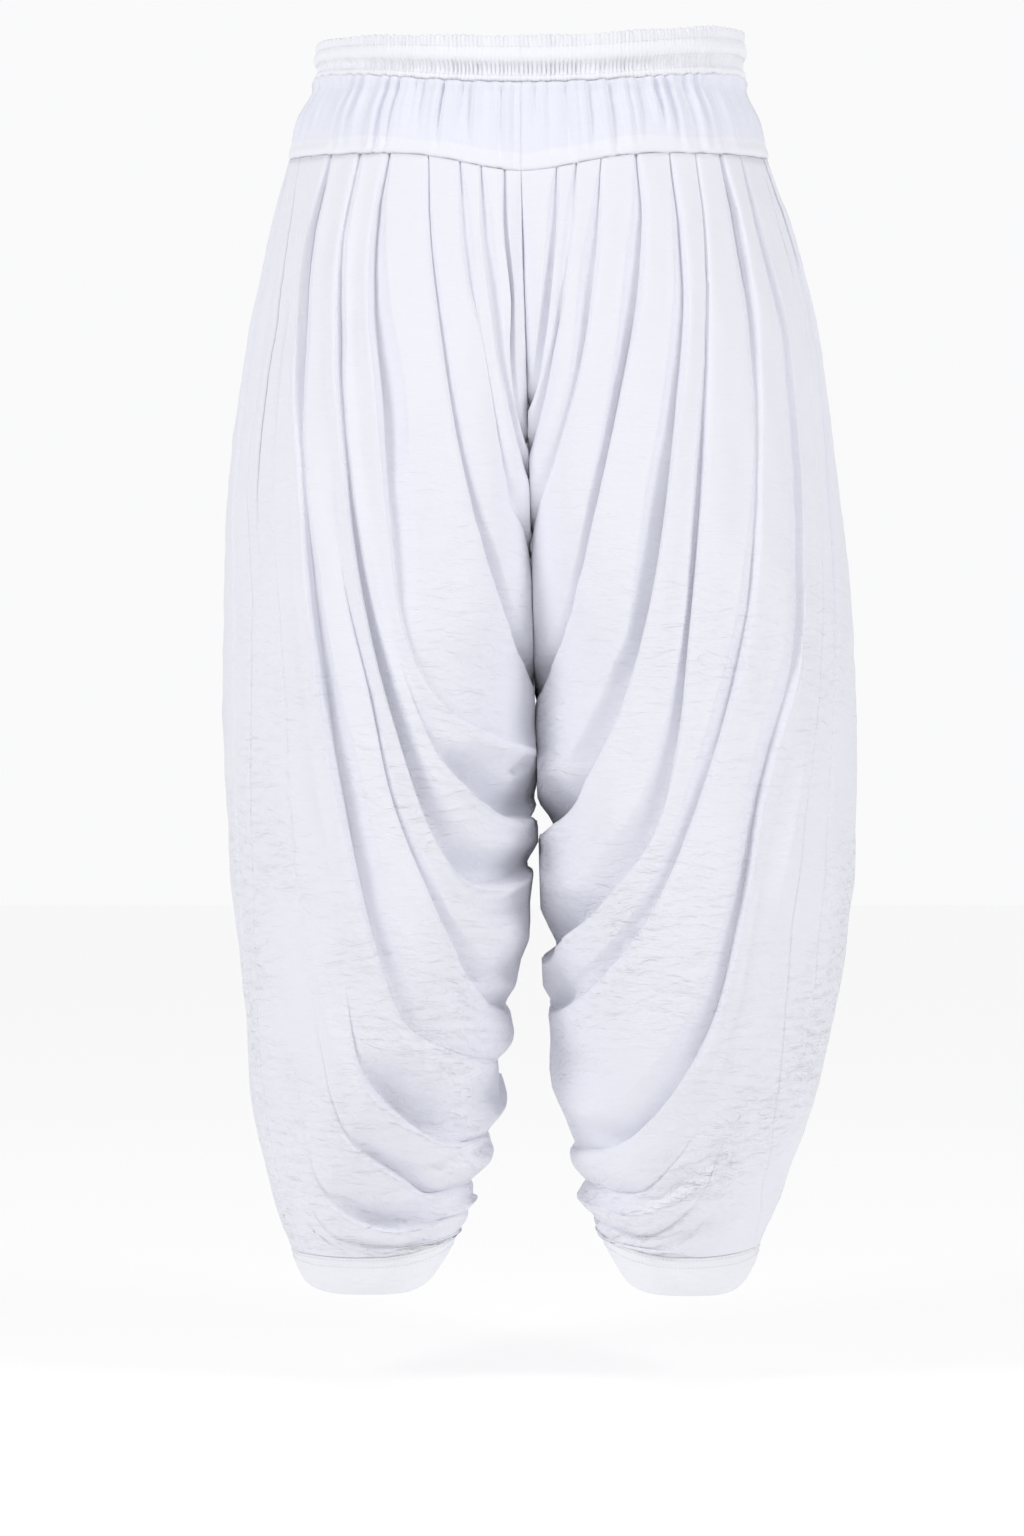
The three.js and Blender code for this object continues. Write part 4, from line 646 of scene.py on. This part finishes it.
def gore_grid(leg, face, first, last, between=4):
    """The grid of one gore between two rows of the fold table."""
    skin = SKIN[leg, face]
    t = np.linspace(0, 1, STEPS + 1)
    folds = [Fold(leg, face, i, t) for i in range(first, last + 1)]
    rows_w, rows_z, rows_h = [], [], []
    for inner, outer in zip(folds, folds[1:]):
        around = skin.round((inner.z + outer.z) / 2)
        span = np.maximum(1, np.hypot((outer.w - inner.w) * around, outer.z - inner.z))
        hollow = hollow_width(span, outer)
        s = strip_lines(span, hollow, between)
        low = ease((SEAM_TOP - 60 - (inner.z + outer.z) / 2) / 120)
        end = ease(((inner.w + outer.w) / 2 - 0.72) / 0.26) * low
        height, slip = drape(s, span, hollow, inner, outer, end)
        share = (s + slip) / span
        w = inner.w + (outer.w - inner.w) * share
        z = inner.z + (outer.z - inner.z) * share
        z[:, 0] = belt_edge(w[:, 0]) - EDGE_GAP
        if inner.name in ON_HEM:
            z[:, -1] = hem_edge(leg, w[:, -1]) + EDGE_GAP
        rows_w.append(w)
        rows_z.append(z)
        rows_h.append(height)
    w = np.concatenate(rows_w + [folds[-1].w[None, :]])
    z = np.concatenate(rows_z + [folds[-1].z[None, :]])
    h = np.concatenate(rows_h + [np.zeros((1, STEPS + 1))])
    return w, z, h


def fine_height(leg, face, w, z):
    """Creases and ripples, faded out at the belt, the hem and the centre seams."""
    skin = SKIN[leg, face]
    flat_w, flat_z = w.ravel(), z.ravel()
    around = skin.round(flat_z)
    base = skin.place(flat_w, flat_z, np.zeros(len(flat_w)))
    total = crease_height(leg, base, ease((flat_w - 0.8) / 0.2))
    total += ripple(base, 9.3 if leg == "left" else 2.1)
    fade = ease((belt_edge(flat_w) - flat_z) / 60) * ease((flat_z - hem_edge(leg, flat_w)) / 25)
    centre = ease((1 - flat_w) * around / 30)
    fade = fade * np.where(flat_z > CROTCH, centre, 1)
    return (total * fade).reshape(w.shape)


def lay_gore(leg, face, first, last):
    skin = SKIN[leg, face]
    w, z, h = gore_grid(leg, face, first, last)
    points = skin.place(w, z, h + fine_height(leg, face, w, z))
    uv = np.stack([skin.sign * w * skin.round(z), z], -1)
    return points, uv


SIDE_ROW = {leg: [name for name, _ in FOLDS[leg]].index("side seam") for leg in FOLDS}
sheets = {}
for leg in ("left", "right"):
    for face in ("back", "front"):
        points, uv = lay_gore(leg, face, 0, SIDE_ROW[leg])
        flip = (leg == "left") == (face == "back")
        sheets[face, leg] = sheet_of(f"{face}_gore_cloth_{leg}", points, uv, THIN, flip)
    back, back_uv = lay_gore(leg, "back", SIDE_ROW[leg], len(FOLDS[leg]))
    front, front_uv = lay_gore(leg, "front", SIDE_ROW[leg], len(FOLDS[leg]))
    points = np.concatenate([back, front[::-1][1:]])
    front_uv[..., 0] *= -1
    uv = np.concatenate([back_uv, front_uv[::-1][1:]])
    sheets["side", leg] = sheet_of(f"side_panel_cloth_{leg}", points, uv, THIN, leg == "left")

# %% [markdown]
# ## The belt
#
# The belt is a flat band of cloth cut in two halves, seamed at the centre back and front. The
# waistband draws its top edge in, so it hangs in soft upright ripples that fade towards the pleats.

# %% The belt
BELT_QUARTER = 250
BELT_COLUMNS, BELT_ROWS = 260, 36
BELT_THICK = 1.2


def belt_half(leg):
    sign = -1 if leg == "left" else 1
    columns, uv = [], []
    for face in ("back", "front"):
        skin = SKIN[leg, face]
        half = BELT_COLUMNS // 2 + 1
        w = np.linspace(1, 0, half) if face == "back" else np.linspace(0, 1, half)[1:]
        w = w[:, None]
        down = np.linspace(0, 1, BELT_ROWS + 1)[None, :]
        top = BAND_BOTTOM + 1.2 - waist_dip(face, w) + waist_lift(leg, w, BAND_BOTTOM)
        pull = np.abs(np.sin(w * BELT_QUARTER / 7.5 + 0.8 * np.sin(w * BELT_QUARTER / 23)))
        bottom = belt_edge(w) + 0.3 * pull * ease((1 - w) * BELT_QUARTER / 12)
        z = top + (bottom - top) * down
        around = w * BELT_QUARTER * sign * (1 if face == "back" else -1)
        seam = ease((1 - w) * BELT_QUARTER / 12)
        gather = np.sin(around / 2.6 + 2.2 * np.sin(around / 19) + 1.2 * np.sin(around / 7.3))
        gather = gather + 0.6 * np.sin(around / 1.45 + 2 * np.sin(around / 29))
        reach = 0.55 + 0.3 * np.sin(around / 11 + 1) * np.sin(around / 31)
        hang = ease((1.25 - down / np.maximum(reach + 0.35, 0.4)) / 0.9)
        height = gather * seam * 2.1 * hang * ease(down * 9 + 0.45) + 1.2 * np.sin(math.pi * down)
        height = height + 2.8 * np.exp(-(down / 0.09) ** 2)
        height = height + 1.1 * np.exp(-((down - 0.93) / 0.05) ** 2)
        height = height - 0.8 * np.exp(-((down - 1) / 0.02) ** 2)
        height = height - 1.0 * np.exp(-((1 - w) * BELT_QUARTER / 1.2) ** 2)
        w_all = np.broadcast_to(w, z.shape)
        columns.append(skin.place(w_all, z, height))
        uv.append(np.stack([np.broadcast_to(around, z.shape), z - bottom], -1))
    points, uv = np.concatenate(columns), np.concatenate(uv)
    return sheet_of(f"belt_cloth_{leg}", points, uv, BELT_THICK, leg == "right")


for leg in ("left", "right"):
    sheets["belt", leg] = belt_half(leg)

# %% [markdown]
# ## The waistband
#
# The waistband is a doubled strip with two channels of elastic in it and a narrow frill left
# standing above them. The elastic gathers it into fine shirring, about 3 mm from one gather to the
# next, pinched where the rows of stitches run and puffed between them.

# %% The waistband
WAIST_ROUND = 850
BAND_POINTS = 1320
BAND_OUTSIDE = 20
BAND = (  # out, z, gather: up the outside, over the frill and down the inside
    (0.2, -22.0, 1.3), (2.4, -21.3, 1.0), (4.2, -19.9, 0.6), (4.8, -18.2, 0.4), (4.4, -16.6, 0.5),
    (3.0, -15.3, 1.1), (1.7, -14.0, 1.6), (1.2, -12.0, 1.9), (1.2, -9.6, 1.9), (1.8, -7.4, 1.6),
    (3.2, -5.8, 1.0), (4.7, -3.8, 0.5), (5.4, -1.2, 0.3), (5.2, 1.6, 0.3), (4.3, 4.2, 0.5),
    (3.2, 5.8, 0.9), (3.0, 7.4, 0.8), (3.4, 10.0, 0.8), (3.3, 12.6, 1.1), (2.6, 13.9, 1.2),
    (1.6, 14.0, 1.2), (0.8, 12.0, 1.2), (-0.4, 8.0, 0.9), (-1.8, 4.4, 0.4), (-2.2, -1.2, 0.5),
    (-2.2, -7.2, 0.5), (-2.2, -14.0, 0.5), (-1.8, -21.6, 0.5),
)


def waist_stations(count):
    """Stations round the waist from centre back over the right side."""
    turn = 4 * np.arange(count) / count
    quarter = np.floor(turn).astype(int)
    part = turn - quarter
    w = np.where(quarter % 2 == 0, 1 - part, part)
    return turn, quarter, w


def waistband():
    count = BAND_POINTS
    turn, quarter, w = waist_stations(count)
    around = turn / 4 * WAIST_ROUND
    base, out = np.zeros((count, 2)), np.zeros((count, 2))
    dip, lift = np.zeros(count), np.zeros((count, len(BAND)))
    quarters = (("right", "back"), ("right", "front"), ("left", "front"), ("left", "back"))
    for q, (leg, face) in enumerate(quarters):
        here = quarter == q
        skin = SKIN[leg, face]
        z = np.zeros(here.sum())
        base[here, 0], base[here, 1] = skin.read(skin.x, w[here], z), skin.read(skin.y, w[here], z)
        out[here, 0], out[here, 1] = skin.read(skin.out_x, w[here], z), skin.read(skin.out_y, w[here], z)
        dip[here] = waist_dip(face, w[here])
        lift[here] = waist_lift(leg, w[here, None], np.array(BAND)[:, 1])
    beat = 2 * math.pi * turn / 4
    phase = 2 * math.pi * around / 3.1 + 1.6 * np.sin(9 * beat) + 1.1 * np.sin(23 * beat + 1)
    strong = 0.75 + 0.25 * np.sin(31 * beat) * np.sin(17 * beat + 2)
    frill = 0.55 * np.sin(phase * 0.5) + 0.5 * np.sin(13 * beat)
    points, uv = [], []
    for k, (away, z, gather) in enumerate(BAND):
        turned = phase + 0.5 * math.sin(k * 0.7)
        wave = np.sin(turned) + 0.35 * np.sin(2 * turned + 1) + 0.4 * np.sin(0.37 * turned + k * 0.05)
        far = away + 0.8 * gather * strong * wave
        up = z - dip + lift[:, k] + frill * ease((z - 6) / 7)
        points.append(np.stack([base[:, 0] + out[:, 0] * far, base[:, 1] + out[:, 1] * far, up], -1))
        uv.append(np.stack([around, np.full(count, z + (0 if k < BAND_OUTSIDE else 40))], -1))
    return ring_of("waistband_cloth", np.array(points), np.array(uv))


band = waistband()

# %% [markdown]
# ## The cuffs
#
# A doubled strip, folded at the lower edge and topstitched twice where it holds the gathered leg.

# %% The cuffs
CUFF_COLUMNS = ("x", "y", "half_width", "back", "front", "outer", "inner", "low")
CUFFS = {
    "left": dict(zip(CUFF_COLUMNS, (-120, -8, 49, 50, 49, -911, -907, -918))),
    "right": dict(zip(CUFF_COLUMNS, (118, -8, 46, 50, 48, -906, -913, -919))),
}
CUFF_SECTION = (  # down the cuff, and in from its face, in mm
    (-0.05, 1.2), (0.0, 0.5), (0.02, 0.1), (0.06, 0.0), (0.11, 0.35), (0.15, 0.0), (0.2, 0.3),
    (0.25, 0.0), (0.4, -0.2), (0.55, -0.3), (0.7, -0.3), (0.85, -0.2), (0.95, 0.0), (0.99, 0.5),
    (1.0, 1.2), (0.99, 1.9), (0.9, 2.2), (0.6, 2.2), (0.3, 2.2), (0.0, 2.2),
)
CUFF_POINTS = 260
CUFF_OUTSIDE = 14


def cuff_point(leg, turn, down):
    """Points of the cuff's face; turn runs 0 to 2 round the ankle, from the outer side over the back."""
    size = CUFFS[leg]
    sign = -1 if leg == "left" else 1
    behind = turn <= 1
    w = np.where(behind, turn, 2 - turn)
    c, s = np.cos(math.pi * turn), np.sin(math.pi * turn)
    top_z = hem_edge(leg, w) - 0.3
    back, front = (SKIN[leg, face].place(w, top_z, 0.0) for face in ("back", "front"))
    high = np.where(behind[:, None], back, front)
    low_z = (size["low"] + (size["outer"] - size["low"]) * np.maximum(0, c) ** 5
             + (size["inner"] - size["low"]) * np.maximum(0, -c) ** 5)
    depth = np.where(s > 0, size["back"], size["front"])
    low = np.stack([size["x"] + sign * size["half_width"] * c, size["y"] - depth * s, low_z], -1)
    point = high + (low - high) * down
    away = point[:, :2] - np.array([size["x"], size["y"]])
    return point, away / np.linalg.norm(away, axis=1, keepdims=True)


def cuff(leg):
    count = CUFF_POINTS
    turn = 2 * np.arange(count) / count
    points, uv = [], []
    for k, (down, inset) in enumerate(CUFF_SECTION):
        point, away = cuff_point(leg, turn, down)
        bulge = 1.2 * math.sin(math.pi * down)
        wander = 0.5 * np.sin(7 * math.pi * turn + 3 * down)
        wander = wander + 0.35 * np.sin(13 * math.pi * turn + 1 + 5 * down)
        pucker = 0.25 * np.sin(2 * math.pi * turn * 55 + 1.5 * np.sin(9 * turn)) * math.exp(-down / 0.12)
        shift = bulge - inset + wander * math.sin(math.pi * min(1, down * 1.2)) + pucker
        point[:, :2] += away * shift[:, None]
        points.append(point)
        level = HEM - 40 * down + (0 if k < CUFF_OUTSIDE else 60)
        uv.append(np.stack([turn * 170, np.full(count, level)], -1))
    return ring_of(f"cuff_cloth_{leg}", np.array(points), np.array(uv), leg == "right")


cuffs = {leg: cuff(leg) for leg in ("left", "right")}

# %% [markdown]
# ## Stitches
#
# The cuffs are topstitched twice below the leg, and the waistband is stitched between its channels.
# A stitch is a short thread that dives into the cloth at both ends. Geometry Nodes lays one at each
# step along a line, and the result is made real.

# %% One stitch, laid along a line
def stitch_nodes():
    tree = bpy.data.node_groups.new("stitch row", "GeometryNodeTree")
    face = tree.interface
    face.new_socket("Geometry", in_out="INPUT", socket_type="NodeSocketGeometry")
    for label, value in (("Pitch", 0.0033), ("Length", 0.0024), ("Thread", 0.00028)):
        socket = face.new_socket(label, in_out="INPUT", socket_type="NodeSocketFloat")
        socket.default_value = value
    face.new_socket("Material", in_out="INPUT", socket_type="NodeSocketMaterial")
    face.new_socket("Geometry", in_out="OUTPUT", socket_type="NodeSocketGeometry")
    source, result = tree.nodes.new("NodeGroupInput"), tree.nodes.new("NodeGroupOutput")
    curve = tree.nodes.new("GeometryNodeMeshToCurve")
    marks = tree.nodes.new("GeometryNodeCurveToPoints")
    marks.mode = "LENGTH"
    bead = tree.nodes.new("GeometryNodeMeshUVSphere")
    for label, value in (("Segments", 6), ("Rings", 6), ("Radius", 1)):
        bead.inputs[label].default_value = value
    half = tree.nodes.new("ShaderNodeMath")
    half.operation = "MULTIPLY"
    half.inputs[1].default_value = 0.5
    size = tree.nodes.new("ShaderNodeCombineXYZ")
    lay = tree.nodes.new("GeometryNodeInstanceOnPoints")
    real = tree.nodes.new("GeometryNodeRealizeInstances")
    finish = tree.nodes.new("GeometryNodeSetMaterial")
    for giver, out, taker, entry in (
            (source, "Geometry", curve, "Mesh"), (curve, "Curve", marks, "Curve"),
            (source, "Pitch", marks, "Length"), (source, "Length", half, 0),
            (source, "Thread", size, "X"), (source, "Thread", size, "Y"), (half, 0, size, "Z"),
            (marks, "Points", lay, "Points"), (marks, "Rotation", lay, "Rotation"),
            (bead, "Mesh", lay, "Instance"), (size, "Vector", lay, "Scale"),
            (lay, "Instances", real, "Geometry"), (real, "Geometry", finish, "Geometry"),
            (source, "Material", finish, "Material"), (finish, "Geometry", result, "Geometry")):
        tree.links.new(giver.outputs[out], taker.inputs[entry])
    return tree


def thread_material():
    material = bpy.data.materials.new("white thread")
    material.use_nodes = True
    nodes = material.node_tree.nodes
    shader = nodes["Principled BSDF"]
    shader.inputs["Roughness"].default_value = 0.6
    shader.inputs["Sheen Weight"].default_value = 0.2
    place = nodes.new("ShaderNodeTexCoord")
    grain = nodes.new("ShaderNodeTexNoise")
    grain.inputs["Scale"].default_value = 900
    tone = nodes.new("ShaderNodeValToRGB")
    tone.color_ramp.elements[0].color = (0.72, 0.72, 0.77, 1)
    tone.color_ramp.elements[1].color = (0.86, 0.86, 0.9, 1)
    links = material.node_tree.links
    links.new(place.outputs["Object"], grain.inputs["Vector"])
    links.new(grain.outputs["Fac"], tone.inputs["Fac"])
    links.new(tone.outputs["Color"], shader.inputs["Base Color"])
    return material


STITCHES, THREAD = stitch_nodes(), thread_material()
print("stitch nodes:", len(STITCHES.nodes))

# %% [markdown]
# The line of a row is a ring of points read back from the cloth itself, lifted a little and smoothed,
# so that the stitches follow every gather.

# %% The rows of stitches
def row_of(piece, k, count):
    """The points of row k of a piece made from rings, in metres."""
    at = np.empty(len(piece.data.vertices) * 3)
    piece.data.vertices.foreach_get("co", at)
    return at.reshape(-1, 3)[k * count:(k + 1) * count]


def stitch_rows(name, lines, pitch):
    verts = np.concatenate(lines)
    edges, start = [], 0
    for line in lines:
        edges += [(start + i, start + (i + 1) % len(line)) for i in range(len(line))]
        start += len(line)
    mesh = bpy.data.meshes.new(name)
    mesh.from_pydata([tuple(v) for v in verts], edges, [])
    piece = bpy.data.objects.new(name, mesh)
    bpy.context.scene.collection.objects.link(piece)
    rows = piece.modifiers.new("stitches", "NODES")
    rows.node_group = STITCHES
    sockets = {item.name: item.identifier for item in STITCHES.interface.items_tree
               if item.in_out == "INPUT" and item.name != "Geometry"}
    rows[sockets["Pitch"]] = pitch * MM
    rows[sockets["Length"]] = 0.72 * pitch * MM
    rows[sockets["Thread"]] = 0.26 * MM
    rows[sockets["Material"]] = THREAD
    apply_modifiers(piece)
    print(name, "faces:", len(piece.data.polygons))
    return piece


def lifted(line, height):
    """A ring of points moved out from its own middle by height, in mm, and smoothed along the ring."""
    line = (line + np.roll(line, 1, 0) + np.roll(line, -1, 0)) / 3
    away = line[:, :2] - line[:, :2].mean(0)
    line[:, :2] += away / np.linalg.norm(away, axis=1, keepdims=True) * height * MM
    return line


stitches = {}
for leg in ("left", "right"):
    rings = [lifted(row_of(cuffs[leg], k, CUFF_POINTS), 0.15) for k in (3, 7)]
    stitches[f"cuff_{leg}"] = stitch_rows(f"cuff_stitches_{leg}", rings, 3.2)
rings = [lifted(row_of(band, k, BAND_POINTS)[::6], 0.5) for k in (5, 10, 15)]
stitches["waistband"] = stitch_rows("waistband_stitches", rings, 3.4)

# %% [markdown]
# ## Materials
#
# The cloth is a white plain weave with slubs: thicker stretches of thread that show as short level
# streaks. The colour stays near white with a cool tinge, and the bump carries the weave, the slubs
# and the small crinkles of worn cotton.

# %% The weave, as a node group
def link(tree, a, b):
    tree.links.new(a, b)


def noise_of(tree, vector, scale, detail, distortion=0.0):
    """Noise stretched over the cloth: scale is so many spots to a metre, across and down."""
    place = tree.nodes.new("ShaderNodeMapping")
    place.inputs["Scale"].default_value = (*scale, 1)
    link(tree, vector, place.inputs["Vector"])
    node = tree.nodes.new("ShaderNodeTexNoise")
    node.inputs["Scale"].default_value = 1.0
    node.inputs["Detail"].default_value = detail
    node.inputs["Distortion"].default_value = distortion
    link(tree, place.outputs["Vector"], node.inputs["Vector"])
    return node.outputs["Fac"]


def math_of(tree, operation, *values):
    node = tree.nodes.new("ShaderNodeMath")
    node.operation = operation
    for socket, value in zip(node.inputs, values):
        if isinstance(value, (int, float)):
            socket.default_value = value
        else:
            link(tree, value, socket)
    return node.outputs[0]


def share_of(tree, value, low, high):
    """0 where value is low and 1 where it is high."""
    node = tree.nodes.new("ShaderNodeMapRange")
    node.inputs["From Min"].default_value = low
    node.inputs["From Max"].default_value = high
    link(tree, value, node.inputs["Value"])
    return node.outputs["Result"]


def mix_of(tree, factor, a, b):
    node = tree.nodes.new("ShaderNodeMix")
    node.data_type = "RGBA"
    link(tree, factor, node.inputs["Factor"])
    for name, value in (("A", a), ("B", b)):
        socket = next(one for one in node.inputs if one.name == name and one.type == "RGBA")
        link(tree, value, socket)
    return next(one for one in node.outputs if one.type == "RGBA")


def bump_of(tree, source, distance, strength, previous=None):
    node = tree.nodes.new("ShaderNodeBump")
    node.inputs["Distance"].default_value = distance
    link(tree, strength, node.inputs["Strength"])
    link(tree, source, node.inputs["Height"])
    if previous is not None:
        link(tree, previous, node.inputs["Normal"])
    return node.outputs["Normal"]


def weave_group():
    tree = bpy.data.node_groups.new("slub weave", "ShaderNodeTree")
    for label, kind, side in (
            ("UV", "Vector", "INPUT"), ("Thread", "Color", "INPUT"), ("Shade", "Color", "INPUT"),
            ("Doubled", "Color", "INPUT"), ("Turning", "Float", "INPUT"), ("Crinkle", "Float", "INPUT"),
            ("Weave", "Float", "INPUT"), ("Color", "Color", "OUTPUT"), ("Normal", "Vector", "OUTPUT")):
        tree.interface.new_socket(label, in_out=side, socket_type="NodeSocket" + kind)
    source = tree.nodes.new("NodeGroupInput").outputs
    result = tree.nodes.new("NodeGroupOutput").inputs
    uv = source["UV"]
    split = tree.nodes.new("ShaderNodeSeparateXYZ")
    link(tree, uv, split.inputs["Vector"])
    level = split.outputs["Y"]

    slub = noise_of(tree, uv, (70, 900), 3)
    slub_down = noise_of(tree, uv, (1100, 60), 2)
    blotch = noise_of(tree, uv, (14, 10), 3)
    creases = noise_of(tree, uv, (60, 150), 3, 1.2)

    tone = math_of(tree, "MULTIPLY", math_of(tree, "ADD", slub, blotch), 0.5)
    colour = mix_of(tree, share_of(tree, tone, 0.3, 0.7), source["Shade"], source["Thread"])
    above = math_of(tree, "SUBTRACT", level, source["Turning"])
    uneven = math_of(tree, "MULTIPLY_ADD", blotch, 0.012, above)
    colour = mix_of(tree, share_of(tree, uneven, 0.007, 0.005), colour, source["Doubled"])
    link(tree, colour, result["Color"])

    patch = share_of(tree, noise_of(tree, uv, (9, 6), 2), 0.3, 0.62)
    creases = math_of(tree, "MULTIPLY", creases, patch)
    creases = math_of(tree, "MULTIPLY", creases, share_of(tree, level, -0.2, -0.75))
    normal = bump_of(tree, creases, 0.0046, source["Crinkle"])
    normal = bump_of(tree, slub, 0.0003, source["Weave"], normal)
    normal = bump_of(tree, slub_down, 0.00012, source["Weave"], normal)
    link(tree, normal, result["Normal"])
    return tree


WEAVE = weave_group()
print("weave nodes:", len(WEAVE.nodes))

# %% [markdown]
# Each cloth places the group with its own white and its own strength of crinkle. The belt is a
# little bluer, because it is one layer over the darker inside, and its turned-up lower edge shows
# through as a paler strip. Turning is how wide that strip is.

# %% Materials
NO_TURNING = -2.0


def cloth_material(name, tint, crinkle, weave, turning=NO_TURNING):
    material = bpy.data.materials.new(name)
    material.use_nodes = True
    tree = material.node_tree
    shader = tree.nodes["Principled BSDF"]
    for label, value in (("Roughness", 0.82), ("Sheen Weight", 0.25), ("Sheen Roughness", 0.5),
                         ("Specular IOR Level", 0.25)):
        shader.inputs[label].default_value = value
    uv = tree.nodes.new("ShaderNodeUVMap")
    uv.uv_map = "cloth"
    group = tree.nodes.new("ShaderNodeGroup")
    group.node_tree = WEAVE
    shade = (tint[0] * 0.965, tint[1] * 0.968, tint[2] * 0.985, 1)
    for label, value in (("Thread", (*tint, 1)), ("Shade", shade), ("Doubled", (0.9, 0.905, 0.955, 1)),
                         ("Turning", turning), ("Crinkle", crinkle), ("Weave", weave)):
        group.inputs[label].default_value = value
    link(tree, uv.outputs["UV"], group.inputs["UV"])
    link(tree, group.outputs["Color"], shader.inputs["Base Color"])
    link(tree, group.outputs["Normal"], shader.inputs["Normal"])
    return material


gore_cloth = cloth_material("white slub cloth", (0.888, 0.892, 0.945), 0.95, 1.0)
belt_cloth = cloth_material("white belt cloth", (0.868, 0.88, 0.955), 0.4, 0.9, turning=0.012)
doubled_cloth = cloth_material("white doubled cloth", (0.935, 0.938, 0.97), 0.4, 0.8)


def give(piece, material):
    piece.data.materials.clear()
    piece.data.materials.append(material)


for (kind, leg), piece in sheets.items():
    give(piece, belt_cloth if kind == "belt" else gore_cloth)
give(band, doubled_cloth)
for piece in cuffs.values():
    give(piece, doubled_cloth)
print("cloths:", gore_cloth.name, "|", belt_cloth.name, "|", doubled_cloth.name)

# %% [markdown]
# ## Putting each piece on the frame
#
# Each sheet replaces its solid.

# %% Putting each piece on the frame
def dress(piece, node):
    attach(piece, "root")
    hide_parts(node)


for leg in ("left", "right"):
    dress(sheets["back", leg], f"back_gore_{leg}")
    dress(sheets["front", leg], f"front_gore_{leg}")
    dress(sheets["side", leg], f"side_panel_{leg}")
    dress(sheets["belt", leg], f"belt_{leg}")
    dress(cuffs[leg], f"cuff_{leg}")
dress(band, "waistband")
for node, piece in stitches.items():
    dress(piece, node)
pieces = dict(sheets)
pieces.update({("cuff", leg): cuffs[leg] for leg in cuffs})
pieces["waistband", ""] = band

# %% [markdown]
# ## Floor, light and camera
#
# A bright even studio. Two softboxes stand high on the camera's side, one to the left and one to the
# right. The surround is white to the camera, but it lights the cloth less from the camera's side than
# from the far side, which keeps the shading in the folds. The pale floor glows a little, so that it
# runs into the white with no line.

# %% Floor and light
FLOOR_SIZE, FLOOR_LEVEL = 12.0, -0.985


def floor_plane():
    signs = ((-1, -1), (1, -1), (1, 1), (-1, 1))
    corners = [(x * FLOOR_SIZE, y * FLOOR_SIZE, FLOOR_LEVEL) for x, y in signs]
    mesh = bpy.data.meshes.new("floor")
    mesh.from_pydata(corners, [], [(0, 1, 2, 3)])
    floor = bpy.data.objects.new("floor", mesh)
    bpy.context.scene.collection.objects.link(floor)
    material = bpy.data.materials.new("pale floor")
    material.use_nodes = True
    shader = material.node_tree.nodes["Principled BSDF"]
    shader.inputs["Base Color"].default_value = (0.28, 0.28, 0.285, 1)
    shader.inputs["Roughness"].default_value = 0.7
    shader.inputs["Emission Color"].default_value = (1, 1, 1, 1)
    shader.inputs["Emission Strength"].default_value = 0.72
    mesh.materials.append(material)


def area_light(name, place, target, size, power):
    data = bpy.data.lights.new(name, "AREA")
    data.shape = "RECTANGLE"
    data.size, data.size_y = size
    data.energy = power
    lamp = bpy.data.objects.new(name, data)
    lamp.location = place
    lamp.rotation_euler = (Vector(target) - Vector(place)).to_track_quat("-Z", "Y").to_euler()
    bpy.context.scene.collection.objects.link(lamp)


floor_plane()
area_light("left softbox", (-2.5, -2.1, 1.75), (0, 0, -0.5), (1.1, 1.6), 50)
area_light("right softbox", (2.5, -2.1, 1.75), (0, 0, -0.5), (1.1, 1.6), 44)
world = bpy.data.worlds.new("studio")
bpy.context.scene.world = world
world.use_nodes = True
backdrop = world.node_tree.nodes["Background"]
direction = world.node_tree.nodes.new("ShaderNodeTexCoord")
apart = world.node_tree.nodes.new("ShaderNodeSeparateXYZ")
spread = world.node_tree.nodes.new("ShaderNodeValToRGB")
spread.color_ramp.elements[0].position = 0.5
spread.color_ramp.elements[0].color = (0.42, 0.42, 0.435, 1)
spread.color_ramp.elements[1].position = 0.9
spread.color_ramp.elements[1].color = (0.955, 0.955, 0.965, 1)
link(world.node_tree, direction.outputs["Generated"], apart.inputs["Vector"])
seen = world.node_tree.nodes.new("ShaderNodeLightPath")
either = math_of(world.node_tree, "MAXIMUM", seen.outputs["Is Camera Ray"], apart.outputs["Y"])
link(world.node_tree, either, spread.inputs["Fac"])
link(world.node_tree, spread.outputs["Color"], backdrop.inputs["Color"])
backdrop.inputs["Strength"].default_value = 1.0
print("lights:", [lamp.name for lamp in bpy.data.lights])

# %% [markdown]
# The camera looks level at the back of the garment from 3.5 m, at half its height.

# %% The camera
camera_data = bpy.data.cameras.new("camera")
camera_data.sensor_fit = "VERTICAL"
camera_data.sensor_height = 36
camera_data.lens = 109.4
camera_data.clip_end = 60
camera = bpy.data.objects.new("camera", camera_data)
camera.location = (-0.0135, -3.5, -0.5295)
camera.rotation_euler = (math.pi / 2, 0, 0)
bpy.context.scene.collection.objects.link(camera)
bpy.context.scene.camera = camera
bpy.context.scene.view_settings.view_transform = "Standard"
print("camera at:", tuple(camera.location))
